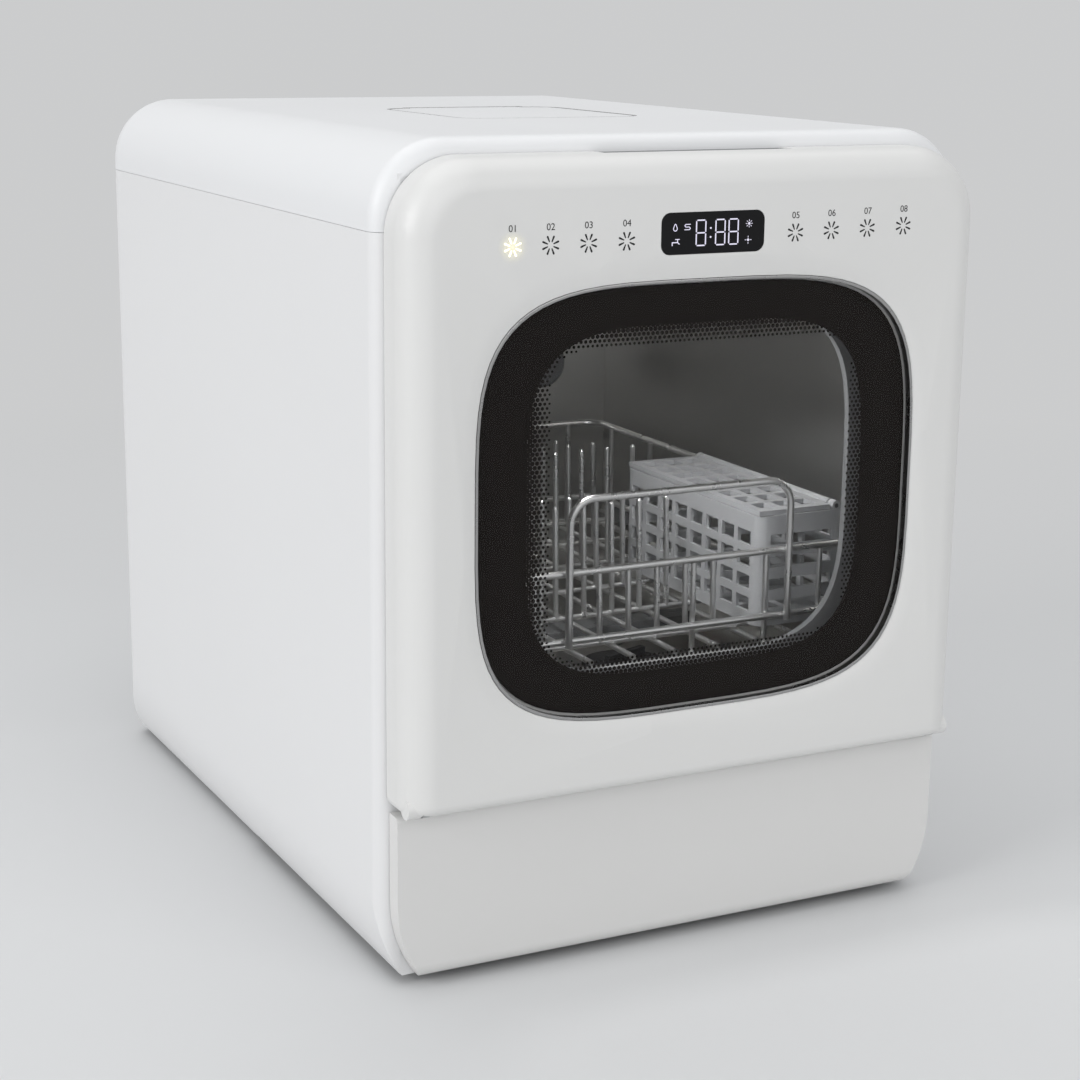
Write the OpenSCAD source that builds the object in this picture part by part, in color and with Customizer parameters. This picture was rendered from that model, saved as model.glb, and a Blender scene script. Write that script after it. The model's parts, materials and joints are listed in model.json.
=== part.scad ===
// Countertop dishwasher: cabinet, drop-down glass door, pull-out rack with a cutlery basket,
// and the wash, drain, fill and drying pieces that it holds.
// The front faces -Y, +X is to the right seen from the front, and z = 0 is the worktop.

/* [Cabinet] */
// Outside width
body_w = 340; // [330:2:380]
// Outside depth, from the door's face to the back
body_d = 490; // [480:2:540]
// Outside height, from the worktop to the top
body_h = 430; // [424:2:460]
// Rounding of the upright back corners and the top edges
corner_r = 38; // [32:1:42]
// Rounding of the front edges beside and above the door
front_r = 9; // [7:0.5:11]
// Wall of the casing
wall = 2.5; // [2:0.1:3]
// Height of the rubber feet
foot_h = 5; // [4:0.5:8]
// Distance of the side seam below the top
cover_h = 44; // [42:1:52]
// How far the sides draw in at the bottom
tuck_w = 13; // [9:1:16]
// Height of the drawn-in part of the sides
tuck_h = 43; // [36:1:48]
// Width of the back panel that shows between the side panels
back_w = 240; // [220:2:250]

/* [Door] */
// Depth of the door
door_t = 27; // [26:0.5:30]
// Gap between the door and the cabinet
door_gap = 0.6; // [0.4:0.1:1]
// How far the door's sides stand inside the cabinet's sides
door_inset = 5; // [4:0.5:7]
// Height of the door's lower edge
door_low = 99; // [96:1:104]
// Distance of the door's upper edge below the top
door_drop = 8; // [7:0.5:10]
// Rounding of the door's front edges
door_edge_r = 16; // [12:1:18]
// Wall of the door's outer shell
shell_t = 2.5; // [2:0.1:3]
// Width of the outer glass
glass_w = 253; // [240:1:256]
// Height of the outer glass
glass_h = 221; // [210:1:224]
// Thickness of the outer glass
glass_t = 4; // [3:0.2:4.5]
// Height of the middle of the glass
glass_z = 248; // [244:1:250]
// Depth of the dish round the glass
dish_t = 2.8; // [2:0.2:3.2]
// Width of the dish round the glass
dish_w = 9; // [7:0.5:10]
// Width of the clear window inside the printed border
window_w = 182; // [170:1:186]
// Height of the clear window inside the printed border
window_h = 164; // [150:1:168]
// Width of the display
display_w = 59; // [50:1:64]
// Height of the display
display_h = 20.4; // [18:0.2:22]
// Distance of the display's middle below the door's upper edge
display_drop = 39; // [37:0.5:40]
// Width of the finger recess in the door's upper edge
recess_w = 108; // [90:2:116]
// Depth of the finger recess
recess_h = 13; // [11:0.5:14]

/* [Hinge] */
// Distance of the hinge pins behind the door's face
hinge_in = 9; // [9:0.2:9.6]
// Height of the hinge pins above the door's lower edge
hinge_up = 4; // [3.8:0.2:4.4]
// Radius of the hinge pins
pin_r = 2.5; // [2:0.1:2.8]
// Thickness of the hinge arms
arm_t = 4; // [3:0.2:4.4]
// Radius of the eye at the end of each arm
eye_r = 5.4; // [5:0.1:5.6]
// Radial clearance of a pin in its eye
pin_play = 0.06; // [0.03:0.01:0.1]

/* [Tub] */
// Inside width of the wash tub
tub_w = 292; // [280:2:294]
// Inside height of the wash tub
tub_h = 274; // [266:1:276]
// Inside depth of the wash tub
tub_d = 346; // [330:2:350]
// Sheet thickness of the wash tub
tub_t = 1.5; // [1:0.1:1.8]
// Rounding of the tub's long edges
tub_r = 25; // [18:1:30]
// Thickness of the front frame round the tub
frame_t = 3.5; // [3:0.1:4]
// Width of the door gasket's ring
gasket_w = 7; // [6:0.5:8]

/* [Rack] */
// Width of the rack's wire frame
rack_w = 262; // [250:2:266]
// Depth of the rack's wire frame
rack_d = 316; // [290:2:320]
// Radius of the rack's frame wires
wire_r = 2; // [1.6:0.1:2.2]
// Radius of the rack's tines
tine_r = 1.6; // [1.2:0.1:1.8]
// Height of the rack's floor above the tub's floor
rack_up = 50; // [48:1:54]
// Height of the rack's front frame
rack_front_h = 47; // [42:1:50]
// Height of the rack's side and back frame
rack_side_h = 61; // [56:1:66]
// Spacing of the tines across the rack
tine_pitch = 17.8; // [16:0.2:20]
// Spacing of the rows of tines
row_pitch = 52; // [46:1:54]
// Width of the front handle loop
handle_w = 135; // [120:1:140]
// Height of the handle loop above the front frame
handle_h = 40; // [34:1:44]

/* [Cutlery basket] */
// Outside width of the basket
basket_w = 56; // [50:1:58]
// Outside length of the basket, front to back
basket_l = 150; // [130:2:156]
// Outside height of the basket
basket_h = 62; // [54:1:66]
// Wall of the basket
basket_t = 2; // [1.6:0.1:2.4]

/* [Filling] */
// Width of the lid over the filling mouth
hatch_w = 110; // [100:1:114]
// Depth of the lid over the filling mouth
hatch_d = 126; // [116:1:130]
// Rounding of the lid's corners
hatch_r = 14; // [10:1:18]
// Thickness of the lid
hatch_t = 3.4; // [3:0.1:3.6]
// Width of the bright rim round the lid
rim_w = 1.8; // [1.4:0.1:2.4]

/* [Wash system] */
// Radius of the sump's rim in the tub's floor
sump_r = 62; // [60:1:64]
// Length of the spray arm from tip to tip
spray_l = 236; // [210:2:244]
// Radius of the filter cup
filter_r = 24; // [22:0.5:26]
// Radius of the filter's well
well_r = 28; // [27.5:0.5:30]
// Radius of the wash pump's volute
volute_r = 33; // [30:0.5:34]
// Width of the water tank
tank_w = 180; // [160:2:184]
// Depth of the water tank
tank_d = 74; // [64:1:76]

/* [Hidden] */

seat = 0.2;          // gap between pieces that are fixed together
cut = 1;             // how far a cut runs past the surface it opens

// Cabinet
half_w = body_w / 2;
front = -body_d / 2;
back = body_d / 2;
cab_front = front + door_t + door_gap;
seam_z = body_h - cover_h;
tuck_z = foot_h + tuck_h;
tuck_r = (tuck_h * tuck_h + tuck_w * tuck_w) / (2 * tuck_w);
inner_back = back - wall;
lip_w = 12;          // width of the side panels' front return
floor_t = 2.5;       // floor of the base tray
floor_z = foot_h + floor_t;
tray_top = foot_h + 14;

// Door
door_hw = half_w - door_inset;
door_top = body_h - door_drop;
door_back = front + door_t;
door_top_r = corner_r;
door_low_r = 6;
liner_t = 3;
plug_t = 5;
plug_back = door_back + plug_t;
plug_side = 10;      // how far the liner's plug stands inside the tub's mouth
dish_hw = glass_w / 2 + dish_w;
dish_hh = glass_h / 2 + dish_w + 2;
ring_w = dish_w + 3; // width of the shell's thick ring round the glass
glass_y = front + dish_t;
glass_back = glass_y + glass_t;
border_t = 0.8;      // thickness of the border sheet behind the outer glass
glass_ledge = glass_back + border_t + seat;
ledge_t = 2;         // thickness of the ledge that carries the glass
trim_w = 1.6;
display_z = door_top - display_drop;
axis_y = front + hinge_in;
axis_z = door_low + hinge_up;
arm_x = door_hw - 12;
arm_slot = arm_t + 2 * 0.6;

// Tub and front frame
frame_front = cab_front + wall + seat;
frame_back = frame_front + frame_t;
tub_floor = door_low + 7;
tub_top = tub_floor + tub_h;
tub_front = frame_back + seat;
tub_back = tub_front + tub_d;
tub_mid_z = (tub_floor + tub_top) / 2;
mouth_in = 2;        // how far the frame's mouth stands inside the tub
hinge_rear = frame_back + 22;
hinge_post = 16;     // depth of the posts that carry the hinge arms
hinge_foot = 12;     // how far their feet run on to the back
gasket_front = door_back + 0.8;
kick_front = front + 17;
kick_top = door_low - 3.5;

// Rack
rack_front = tub_front + 12;
rack_back = rack_front + rack_d;
rack_z = tub_floor + rack_up;
rack_hw = rack_w / 2;
rail_top = rack_z - 3.5;
basket_x = rack_hw - 8 - basket_w / 2;
basket_y = rack_front + 8 + basket_l / 2;
basket_z = rack_z + wire_r + 0.4;
rack_bend = 14;      // bend radius of the frame wires
frame_x = rack_hw - wire_r;
frame_y0 = rack_front + wire_r;
frame_y1 = rack_back - wire_r;
post_in = wire_r + seat + tine_r;  // how far the uprights stand inside the frame wires
row_r = 1.5;         // radius of the wires that carry the tines
floor_wire_z = rack_z - row_r - tine_r - seat;
base_z = floor_wire_z - tine_r - wire_r - seat;
belt_z = rack_z + 10;
rim_front_z = rack_z + rack_front_h;
rim_z = rack_z + rack_side_h;
rim_angle = 25;      // slope of the rim between its front and its sides
rim_bend_y = rack_bend * sin(rim_angle);
rim_bend_z = rack_bend * (1 - cos(rim_angle));
rim_straight = (rim_z - rim_front_z - 2 * rim_bend_z) / sin(rim_angle);
rim_run = rim_straight * cos(rim_angle) + 2 * rim_bend_y;
rim_y0 = frame_y0 + rack_bend;
rim_y1 = rim_y0 + rim_run;
handle_x = 13;
floor_cols = 8;
floor_pitch = 25.8;
row_count = 6;
tine_cols = 12;
tine_lean = 2.5;
tine_heights = [41, 64, 56, 72, 64, 56];
front_posts = [-rack_hw + 28, -rack_hw + 60, 25, rack_hw - 60, rack_hw - 25];
lid_r = 1.3;         // radius of the cutlery lid's pin
lid_barrel_r = 2.8;
lid_axis_x = basket_x + basket_w / 2 - 5.2;
lid_axis_z = basket_z + basket_h + lid_r + 0.8;
function row_y(k) = rack_front + 24 + k * row_pitch;
// Height of the rim's middle at y
function rim_height(y) = y <= rim_y0 ? rim_front_z
    : min(rim_z, rim_front_z + rim_bend_z + (y - rim_y0 - rim_bend_y) * tan(rim_angle));

// Filling
hatch_x = 5;
hatch_y = 0;
lid_gap = 0.5;
hatch_top = body_h - 0.2;
hatch_axis_y = hatch_y + hatch_d / 2 - hatch_t / 2;
hatch_axis_z = hatch_top - hatch_t / 2;
hatch_pin_r = 0.9;
tongue_w = 74;       // width of the tongue at the back that the lid turns on
tongue_d = hatch_t + 3.6;  // lets the straight edges beside the tongue swing clear of the rim
pin_run = lid_gap + 1.4;  // how far the lid's pin runs past the tongue, into the rim
lid_d = hatch_d - tongue_d;
lid_y = hatch_y - tongue_d / 2;
ledge_w = 8;
seal_h = 1.8;
ledge_z = hatch_top - hatch_t - seal_h - 0.3;
funnel_low = tub_top + tub_t + 4;
spout_r = 8;
spout_z = funnel_low + spout_r + 2;

// Wash system
arm_c = [0, (tub_front + tub_back) / 2];
sump_c = [30, arm_c[1] - 15];
well_c = [52, arm_c[1] - 33];
well_low = floor_z + 30;
arm_z = tub_floor + 12;
tower_r = 10;
bearing_r = 6;
sump_rim_z = tub_floor - tub_t - seat;
sump_low = sump_rim_z - 20;
pump_z = sump_low - volute_r - 0.5;
tank_x = -half_w + wall + 28 + tank_w / 2;
tank_y = inner_back - 14 - tank_d / 2;
tank_top = tub_top + 22;
port_y = back - 22;
port_hw = 28;
port_x = back_w / 2 - port_hw - 4;
inlet_z = 86;
drain_z = 50;
drain_x = port_x + 12;
inlet_x = port_x - 6;
cord_x = port_x - 14;
cord_z = drain_z - 2;
port_low = drain_z - 26;
port_high = inlet_z + 24;

// Other places
screw_x = back_w / 2 + 6;
screw_r = 1.4;
screw_head = 2;      // height of a countersunk head
screw_l = 10;
screw_heights = [foot_h + 30, (foot_h + seam_z) / 2, seam_z - 30];
foot_x = half_w - 48;
foot_y = (back - cab_front) / 2 - 42;
foot_c = (back + cab_front) / 2;
float_c = [-88, arm_c[1] - 90];
duct_x = 98;
duct_z = tub_floor + 150;
fan_x = back_w / 2 - 38;
fan_z = duct_z;
strike_z = door_top - 24;
valve_y = port_y - 26;
port_thread_r = 13.1;
recess_front = door_back - 12;
key_x = 49;
key_pitch = 20.8;
soap_w = 84;
soap_z0 = tub_floor + 7;
soap_z1 = glass_z - glass_h / 2 + 6;

function arc(cx, cy, r, a0, a1, n) = [for (i = [0 : n]) let (a = a0 + (a1 - a0) * i / n)
    [cx + r * cos(a), cy + r * sin(a)]];
function squircle(a, b, n = 4, steps = 72) =
    [for (i = [0 : steps - 1]) let (t = (i + 0.5) * 360 / steps, c = cos(t), s = sin(t))
        [a * sign(c) * pow(abs(c), 2 / n), b * sign(s) * pow(abs(s), 2 / n)]];

// ---- Helpers ----

// Extrudes an (x, z) outline along Y from y0 to y1
module along_y(y0, y1) translate([0, y1, 0]) rotate([90, 0, 0]) linear_extrude(y1 - y0) children();

// Extrudes a (y, z) outline along X from x0 to x1
module along_x(x0, x1) translate([x0, 0, 0]) rotate([90, 0, 90]) linear_extrude(x1 - x0) children();

// Box between two corners
module box(a, b) translate(a) cube(b - a);

// Rounded rectangle round the origin
module rounded(w, h, r) {
    square([w - 2 * r, h], center = true);
    square([w, h - 2 * r], center = true);
    for (x = [-1, 1], y = [-1, 1]) translate([x * (w / 2 - r), y * (h / 2 - r)]) circle(r, $fn = 64);
}

// Rod along X, along Y and upright
module rod_x(x0, x1, y, z, r) translate([x0, y, z])
    rotate([0, 90, 0]) cylinder(h = x1 - x0, r = r, $fn = 64);
module rod_y(y0, y1, x, z, r) translate([x, y0, z])
    rotate([-90, 0, 0]) cylinder(h = y1 - y0, r = r, $fn = 64);
module rod_z(z0, z1, x, y, r) translate([x, y, z0])
    cylinder(h = z1 - z0, r = r, $fn = 64);

// Cabinet seen from above, drawn in by inset: round back corners and eased front corners
module plan_outline(inset) {
    w = half_w - inset;
    f = cab_front + inset;
    b = back - inset;
    rb = corner_r - inset;
    rf = front_r - inset;
    polygon(concat(
        arc(w - rb, b - rb, rb, 0, 90, 16), arc(-w + rb, b - rb, rb, 90, 180, 16),
        arc(-w + rf, f + rf, rf, 180, 270, 8), arc(w - rf, f + rf, rf, 270, 360, 8)));
}

// Cabinet seen from the front, drawn in by inset: sides that draw in towards the worktop
module front_outline(inset, low) {
    w = half_w - inset;
    c = half_w - tuck_r;
    r = tuck_r - inset;
    a = asin((tuck_z - low) / r);
    polygon(concat([[w, body_h]], arc(c, tuck_z, r, 0, -a, 10),
        arc(-c, tuck_z, r, 180 + a, 180, 10), [[-w, body_h]]));
}

// Cabinet below the seam as a solid, drawn in by inset
module lower_form(inset, low, high) {
    intersection() {
        translate([0, 0, low]) linear_extrude(high - low) plan_outline(inset);
        along_y(front, back) front_outline(inset, low);
    }
}

// Quarter of a disc between the positive axes
module quarter(r) intersection() {
    circle(r, $fn = 64);
    square(r);
}

// Square with one round corner, away from the origin
module eased(size, r) {
    if (size[0] > r) square([size[0] - r, size[1]]);
    if (size[1] > r) translate([size[0] - r, 0]) square([r, size[1] - r]);
    translate([size[0] - r, size[1] - r]) quarter(r);
}

// Mirrors its children to the left and keeps the right ones
module both() {
    children();
    mirror([1, 0, 0]) children();
}

// Turns a profile of (radius, depth) a quarter turn about an axis along Y, from up to the right
module corner_y(x, y, z) translate([x, y, z]) rotate([90, 0, 0]) mirror([0, 0, 1])
    rotate_extrude(angle = 90, $fn = 64) children();

// Cabinet above the seam as a solid, drawn in by inset: all edges round
module upper_form(inset, low) {
    w = half_w - inset;
    f = cab_front + inset;
    r = corner_r - inset;
    rf = front_r - inset;
    mid = w - r;
    rear = back - corner_r;
    top = body_h - corner_r;
    box([-mid, f + rf, low], [mid, rear + r, top]);
    along_x(-mid, mid) translate([rear, top]) quarter(r);
    box([-mid, f + rf, top], [mid, rear, top + r]);
    along_x(-mid, mid) translate([f + rf, top]) mirror([1, 0]) eased([rf, r], rf);
    box([-mid, f, low], [mid, f + rf, top]);
    both() {
        box([mid, f + rf, low], [w, rear, top]);
        along_y(f + rf, rear) translate([mid, top]) quarter(r);
        translate([mid, rear, low]) linear_extrude(top - low) quarter(r);
        translate([mid, rear, top]) rotate_extrude(angle = 90, $fn = 64) quarter(r);
        translate([mid, f + rf, low]) mirror([0, 1, 0]) linear_extrude(top - low) eased([r, rf], rf);
        corner_y(mid, f + rf, top) mirror([0, 1]) eased([r, rf], rf);
    }
}

// ---- Casing ----

// Countersunk head of a screw
module screw_cone(h, r) cylinder(h = h, r1 = r, r2 = r + screw_head, $fn = 32);

module side_panel(side) {
    tip = half_w - lip_w;
    difference() {
        lower_form(0, foot_h, seam_z - seat);
        lower_form(wall, foot_h - cut, seam_z + cut);
        box([-tip, front - cut, 0], [tip, 0, body_h]);
        box([-back_w / 2, -cut, 0], [back_w / 2, back + cut, body_h]);
        translate([side > 0 ? -half_w - cut : 0, front, 0]) cube([half_w + cut, body_d + cut, body_h]);
        for (z = screw_heights) {
            rod_y(back - wall - cut, back + cut, side * screw_x, z, screw_r + 0.4);
            translate([side * screw_x, back - screw_head, z]) rotate([-90, 0, 0])
                screw_cone(screw_head + 0.01, screw_r + 0.4);
        }
    }
}

module left_panel() color("whitesmoke") side_panel(-1);
module right_panel() color("whitesmoke") side_panel(1);

module top_cover() color("gainsboro") {
    brow = 14;           // what is left of the front wall beside and above the open front
    difference() {
        upper_form(0, seam_z);
        upper_form(wall, seam_z - cut);
        box([-half_w + brow, front - cut, seam_z - cut],
            [half_w - brow, cab_front + wall + cut, body_h - brow - 4]);
        translate([0, 0, body_h - 2 * wall]) linear_extrude(3 * wall) lid_outline(lid_gap + rim_w + seat);
    }
}

// Slots of one vent in the back panel, in columns and rows round its middle
module vent(x, z, cols, rows) {
    slot = [4, 4 * wall, 20];
    for (i = [0 : cols - 1], j = [0 : rows - 1])
        translate([x + (i - (cols - 1) / 2) * 9, inner_back, z + (j - (rows - 1) / 2) * 26])
            cube(slot, center = true);
}

module back_panel() color("gainsboro") {
    w = back_w / 2 + 12;
    y1 = inner_back - seat;
    difference() {
        union() {
            box([-w, y1 - wall, tray_top + seat], [w, y1, seam_z]);
            for (x = [-screw_x, screw_x], z = screw_heights) rod_y(y1 - screw_l, y1 - 1, x, z, 4);
            box([port_x - port_hw, port_y, port_low], [port_x + port_hw, y1 - 1, port_high]);
        }
        box([port_x - port_hw + wall, port_y + wall, port_low + wall],
            [port_x + port_hw - wall, back, port_high - wall]);
        for (x = [-screw_x, screw_x], z = screw_heights)
            rod_y(y1 - screw_l - cut, y1 + cut, x, z, screw_r + 0.1);
        for (p = [[inlet_x, inlet_z, port_thread_r + 0.9], [drain_x, drain_z, 11], [cord_x, cord_z, 7]])
            rod_y(port_y - cut, port_y + wall + cut, p[0], p[1], p[2]);
        vent(fan_x, fan_z, 6, 2);
        vent(-back_w / 4, seam_z - 60, 8, 2);
        vent(-back_w / 4, foot_h + 80, 8, 2);
    }
}

module back_screws() color("silver") {
    slot = [3.6, 0.8, 1.6];
    for (x = [-screw_x, screw_x], z = screw_heights) translate([x, back, z]) rotate([-90, 0, 0])
        difference() {
            union() {
                translate([0, 0, -screw_head]) screw_cone(screw_head, screw_r);
                translate([0, 0, -screw_l - screw_head]) cylinder(h = screw_l + 1, r = screw_r, $fn = 32);
            }
            for (a = [0, 90]) rotate(a) cube(slot, center = true);
        }
}

module kick_outline(inset) intersection() {
    front_outline(door_inset + 1.5 + inset, foot_h + 1 + inset);
    translate([-half_w, 0]) square([body_w, kick_top - inset]);
}

module kick_panel() color("gainsboro") {
    rear = cab_front - 0.3;
    foot_r = 8;          // rounding of the lower front edge
    lip_r = 3;           // rounding of the upper front edge
    difference() {
        intersection() {
            along_y(kick_front, rear) kick_outline(0);
            along_x(-half_w, half_w) polygon(concat(
                [[rear, kick_top], [rear, 0]],
                arc(kick_front + foot_r, foot_h + 1 + foot_r, foot_r, 270, 180, 8),
                arc(kick_front + lip_r, kick_top - lip_r, lip_r, 180, 90, 4)));
        }
        along_y(kick_front + wall, rear + cut) kick_outline(wall);
    }
}

module base_tray() color("dimgray") {
    skin = wall + seat;
    difference() {
        lower_form(skin, foot_h, tray_top);
        translate([0, 0, floor_t]) lower_form(skin + wall, foot_h, tray_top + cut);
        box([-half_w, front, 0], [half_w, cab_front + 3, tray_top + cut]);
        both() box([arm_x - arm_t / 2 - seat, hinge_rear - hinge_post - seat, floor_z],
            [half_w, hinge_rear + hinge_foot + seat, tray_top + cut]);
        for (x = [-1, 1], y = [-1, 1]) rod_z(0, tray_top, x * foot_x, y * foot_y + foot_c, 3.2);
        for (i = [-4 : 4]) translate([i * 14, 130, foot_h]) cube([6, 60, 4 * floor_t], center = true);
        for (i = [-3 : 3]) translate([-95 + i * 9, -150, foot_h]) cube([4, 50, 4 * floor_t], center = true);
    }
}

module feet() color("black") {
    for (x = [-1, 1], y = [-1, 1]) translate([x * foot_x, y * foot_y + foot_c, 0]) rotate_extrude($fn = 48)
        difference() {
            polygon([[0, 0], [10, 0], [12, foot_h - seat], [3, foot_h - seat],
                [3, floor_z], [0, floor_z]]);
            translate([-cut, -cut]) square([6 + cut, 0.8 + cut]);
        }
}

// ---- Front frame, tub and door seal ----

module mouth(extra) translate([0, tub_mid_z]) rounded(tub_w - 2 * mouth_in + 2 * extra,
    tub_h - 2 * mouth_in + 2 * extra, tub_r - mouth_in + extra);

module front_frame() color("lightgray") {
    inset = 8;           // distance of the frame's edge from the cabinet's
    hw = half_w - inset;
    top = body_h - inset;
    r = corner_r - inset;
    low = kick_top + 1;
    difference() {
        along_y(frame_front, frame_back) polygon(concat([[hw, low]],
            arc(hw - r, top - r, r, 0, 90, 12), arc(-hw + r, top - r, r, 90, 180, 12), [[-hw, low]]));
        along_y(frame_front - cut, frame_back + cut) mouth(0);
        both() translate([arm_x, frame_front, low])
            cube([arm_slot, 20, 2 * (axis_z + 7 - low)], center = true);
        latch_slot(0.5, frame_front - cut, frame_back + cut);
    }
}

module tub() color("silver") {
    difference() {
        along_y(tub_front, tub_back + tub_t)
            translate([0, tub_mid_z]) rounded(tub_w + 2 * tub_t, tub_h + 2 * tub_t, tub_r + tub_t);
        along_y(tub_front - cut, tub_back) translate([0, tub_mid_z]) rounded(tub_w, tub_h, tub_r);
        rod_z(tub_floor - 2 * tub_t, tub_floor + cut, sump_c[0], sump_c[1], sump_r);
        rod_z(tub_floor - 2 * tub_t, tub_floor + cut, float_c[0], float_c[1], 5);
        rod_y(tub_back - cut, tub_back + 2 * tub_t, duct_x, duct_z, 17);
    }
}

module door_gasket() color("darkgray") {
    difference() {
        along_y(gasket_front, frame_front) mouth(gasket_w);
        along_y(gasket_front - cut, frame_front + cut) mouth(0.8);
        along_y(gasket_front + 0.9, gasket_front + 1.9) mouth(gasket_w - 2.4);
    }
}

module hinge_arm(side) {
    x0 = side * arm_x - arm_t / 2;
    x1 = side * arm_x + arm_t / 2;
    half = eye_r - 0.4;  // half the arm's height
    foot_w = 14;
    difference() {
        union() {
            box([x0, axis_y, axis_z - half], [x1, hinge_rear, axis_z + half]);
            rod_x(x0, x1, axis_y, axis_z, eye_r);
            box([x0, hinge_rear - hinge_post, floor_z + seat], [x1, hinge_rear, axis_z]);
            box([x0 - (side > 0 ? foot_w : 0), hinge_rear - hinge_post, floor_z + seat],
                [x1 + (side > 0 ? 0 : foot_w), hinge_rear + hinge_foot, floor_z + 3]);
        }
        rod_x(x0 - cut, x1 + cut, axis_y, axis_z, pin_r + pin_play);
    }
}

module hinge_left() color("slategray") hinge_arm(-1);
module hinge_right() color("slategray") hinge_arm(1);

// Slot for the strike, with spare height above it for the door's swing
module latch_slot(extra, y0, y1)
    box([-8.5 - extra, y0, strike_z - 3], [8.5 + extra, y1, strike_z + 8]);

module latch_block() color("white") {
    difference() {
        box([-20, frame_back + seat, strike_z - 9], [20, frame_back + 32, strike_z + 14]);
        latch_slot(0, frame_back - cut, frame_back + 27);
    }
}

module interior_lamp() color("ivory") {
    translate([0, tub_front + 34, tub_top]) difference() {
        rotate([0, 90, 0]) cylinder(h = 46, r = 7, center = true, $fn = 48);
        translate([0, 0, 10]) cube([60, 30, 20 + 2 * seat], center = true);
    }
}

// ---- Filling ----

// The lid seen from above without its tongue, wider by extra
module lid_plate(extra, r) translate([hatch_x, lid_y]) rounded(hatch_w + 2 * extra, lid_d + 2 * extra, r);

// The lid with the tongue that it turns on, wider by extra
module lid_outline(extra) {
    lid_plate(extra, hatch_r + extra);
    translate([hatch_x - tongue_w / 2 - extra, hatch_y]) square([tongue_w + 2 * extra, hatch_d / 2 + extra]);
}

module hatch_rim() color("silver") difference() {
    translate([0, 0, ledge_z - 2]) linear_extrude(body_h - ledge_z + 2) lid_outline(lid_gap + rim_w);
    translate([0, 0, ledge_z]) linear_extrude(body_h) lid_outline(lid_gap);
    linear_extrude(body_h) lid_plate(-ledge_w, hatch_r - ledge_w);
    hatch_rod(pin_run, hatch_pin_r + 0.02);
}

// Rod on the lid's axis, past the tongue's sides by extra
module hatch_rod(extra, r)
    rod_x(hatch_x - tongue_w / 2 - extra, hatch_x + tongue_w / 2 + extra, hatch_axis_y, hatch_axis_z, r);

module hatch_pin() color("silver") hatch_rod(pin_run, hatch_pin_r);

module hatch_lid() color("whitesmoke") {
    z0 = hatch_top - hatch_t;
    dimple_r = 22.6;     // radius of the ball that the finger dimple is cut with
    difference() {
        union() {
            intersection() {
                translate([0, 0, z0]) linear_extrude(hatch_t) lid_outline(0);
                box([-half_w, front, z0 - cut], [half_w, hatch_axis_y, body_h]);
            }
            hatch_rod(0, hatch_t / 2);
        }
        hatch_rod(cut, hatch_pin_r + 0.06);
        translate([hatch_x, hatch_y - hatch_d / 2 + 12, hatch_top + dimple_r - 0.6])
            sphere(dimple_r, $fn = 96);
    }
}

module hatch_seal() color("dimgray") {
    z0 = hatch_top - hatch_t - seal_h;
    translate([0, 0, z0]) linear_extrude(seal_h) difference() {
        lid_plate(-3, hatch_r - 3);
        lid_plate(-6, hatch_r - 6);
    }
}

module fill_funnel() color("lightgray") {
    top = ledge_z - 2 - seat;
    skin = 2;
    in = ledge_w - 4;    // how far the funnel stands inside the lid's outline
    difference() {
        union() {
            translate([0, 0, funnel_low]) linear_extrude(top - funnel_low) lid_plate(-in, hatch_r);
            rod_y(hatch_y, tank_y - tank_d / 2 - seat, hatch_x, spout_z, spout_r + skin);
        }
        translate([0, 0, funnel_low + skin]) linear_extrude(body_h) lid_plate(-in - skin, hatch_r - skin);
        rod_y(hatch_y, back, hatch_x, spout_z, spout_r);
    }
}

module water_tank() color("lightblue") {
    skin = 2.5;
    r = 14;
    difference() {
        translate([tank_x, tank_y, floor_z + seat]) linear_extrude(tank_top - floor_z)
            rounded(tank_w, tank_d, r);
        translate([tank_x, tank_y, floor_z + skin]) linear_extrude(tank_top - floor_z - 2 * skin)
            rounded(tank_w - 2 * skin, tank_d - 2 * skin, r - skin);
        rod_y(tank_y - tank_d, tank_y, hatch_x, spout_z, spout_r);
        rod_x(tank_x, tank_x + tank_w, valve_y, inlet_z, 5);
        for (i = [-1, 1]) translate([tank_x + i * tank_w / 4, tank_y - tank_d / 2, (floor_z + tank_top) / 2])
            cube([8, 3, tank_top - 100], center = true);
    }
}

module inlet_valve() color("white") {
    x = inlet_x;
    difference() {
        union() {
            rod_y(port_y - 40, port_y + 3, x, inlet_z, 12);
            rod_y(port_y - seat, port_y + wall + 16, x, inlet_z, port_thread_r);
            box([x - 13, valve_y - 13, inlet_z + 8], [x + 13, valve_y + 13, inlet_z + 40]);
            rod_x(tank_x + tank_w / 2 + seat, x, valve_y, inlet_z, 6);
            rod_x(tank_x + tank_w / 2 + seat, tank_x + tank_w / 2 + 4, valve_y, inlet_z, 9);
        }
        rod_y(port_y - 30, back, x, inlet_z, 8);
        rod_x(tank_x, x, valve_y, inlet_z, 4);
    }
}

module drain_port() color("dimgray") {
    difference() {
        union() {
            rod_y(port_y - 12, port_y + wall + 14, drain_x, drain_z, 9);
            rod_y(port_y - 3, port_y - seat, drain_x, drain_z, 13);
        }
        rod_y(port_y - 13, back, drain_x, drain_z, 6.5);
    }
}

module drain_hose() color("gray") {
    y0 = well_c[1] - well_r - 22;
    difference() {
        union() {
            rod_x(well_c[0] + 20, drain_x, y0, drain_z, 9);
            translate([drain_x, y0, drain_z]) sphere(9, $fn = 48);
            rod_y(y0, port_y - 12 - seat, drain_x, drain_z, 9);
        }
        rod_x(well_c[0] + 20 - cut, drain_x, y0, drain_z, 6.5);
        translate([drain_x, y0, drain_z]) sphere(6.5, $fn = 48);
        rod_y(y0, port_y, drain_x, drain_z, 6.5);
    }
}

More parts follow.
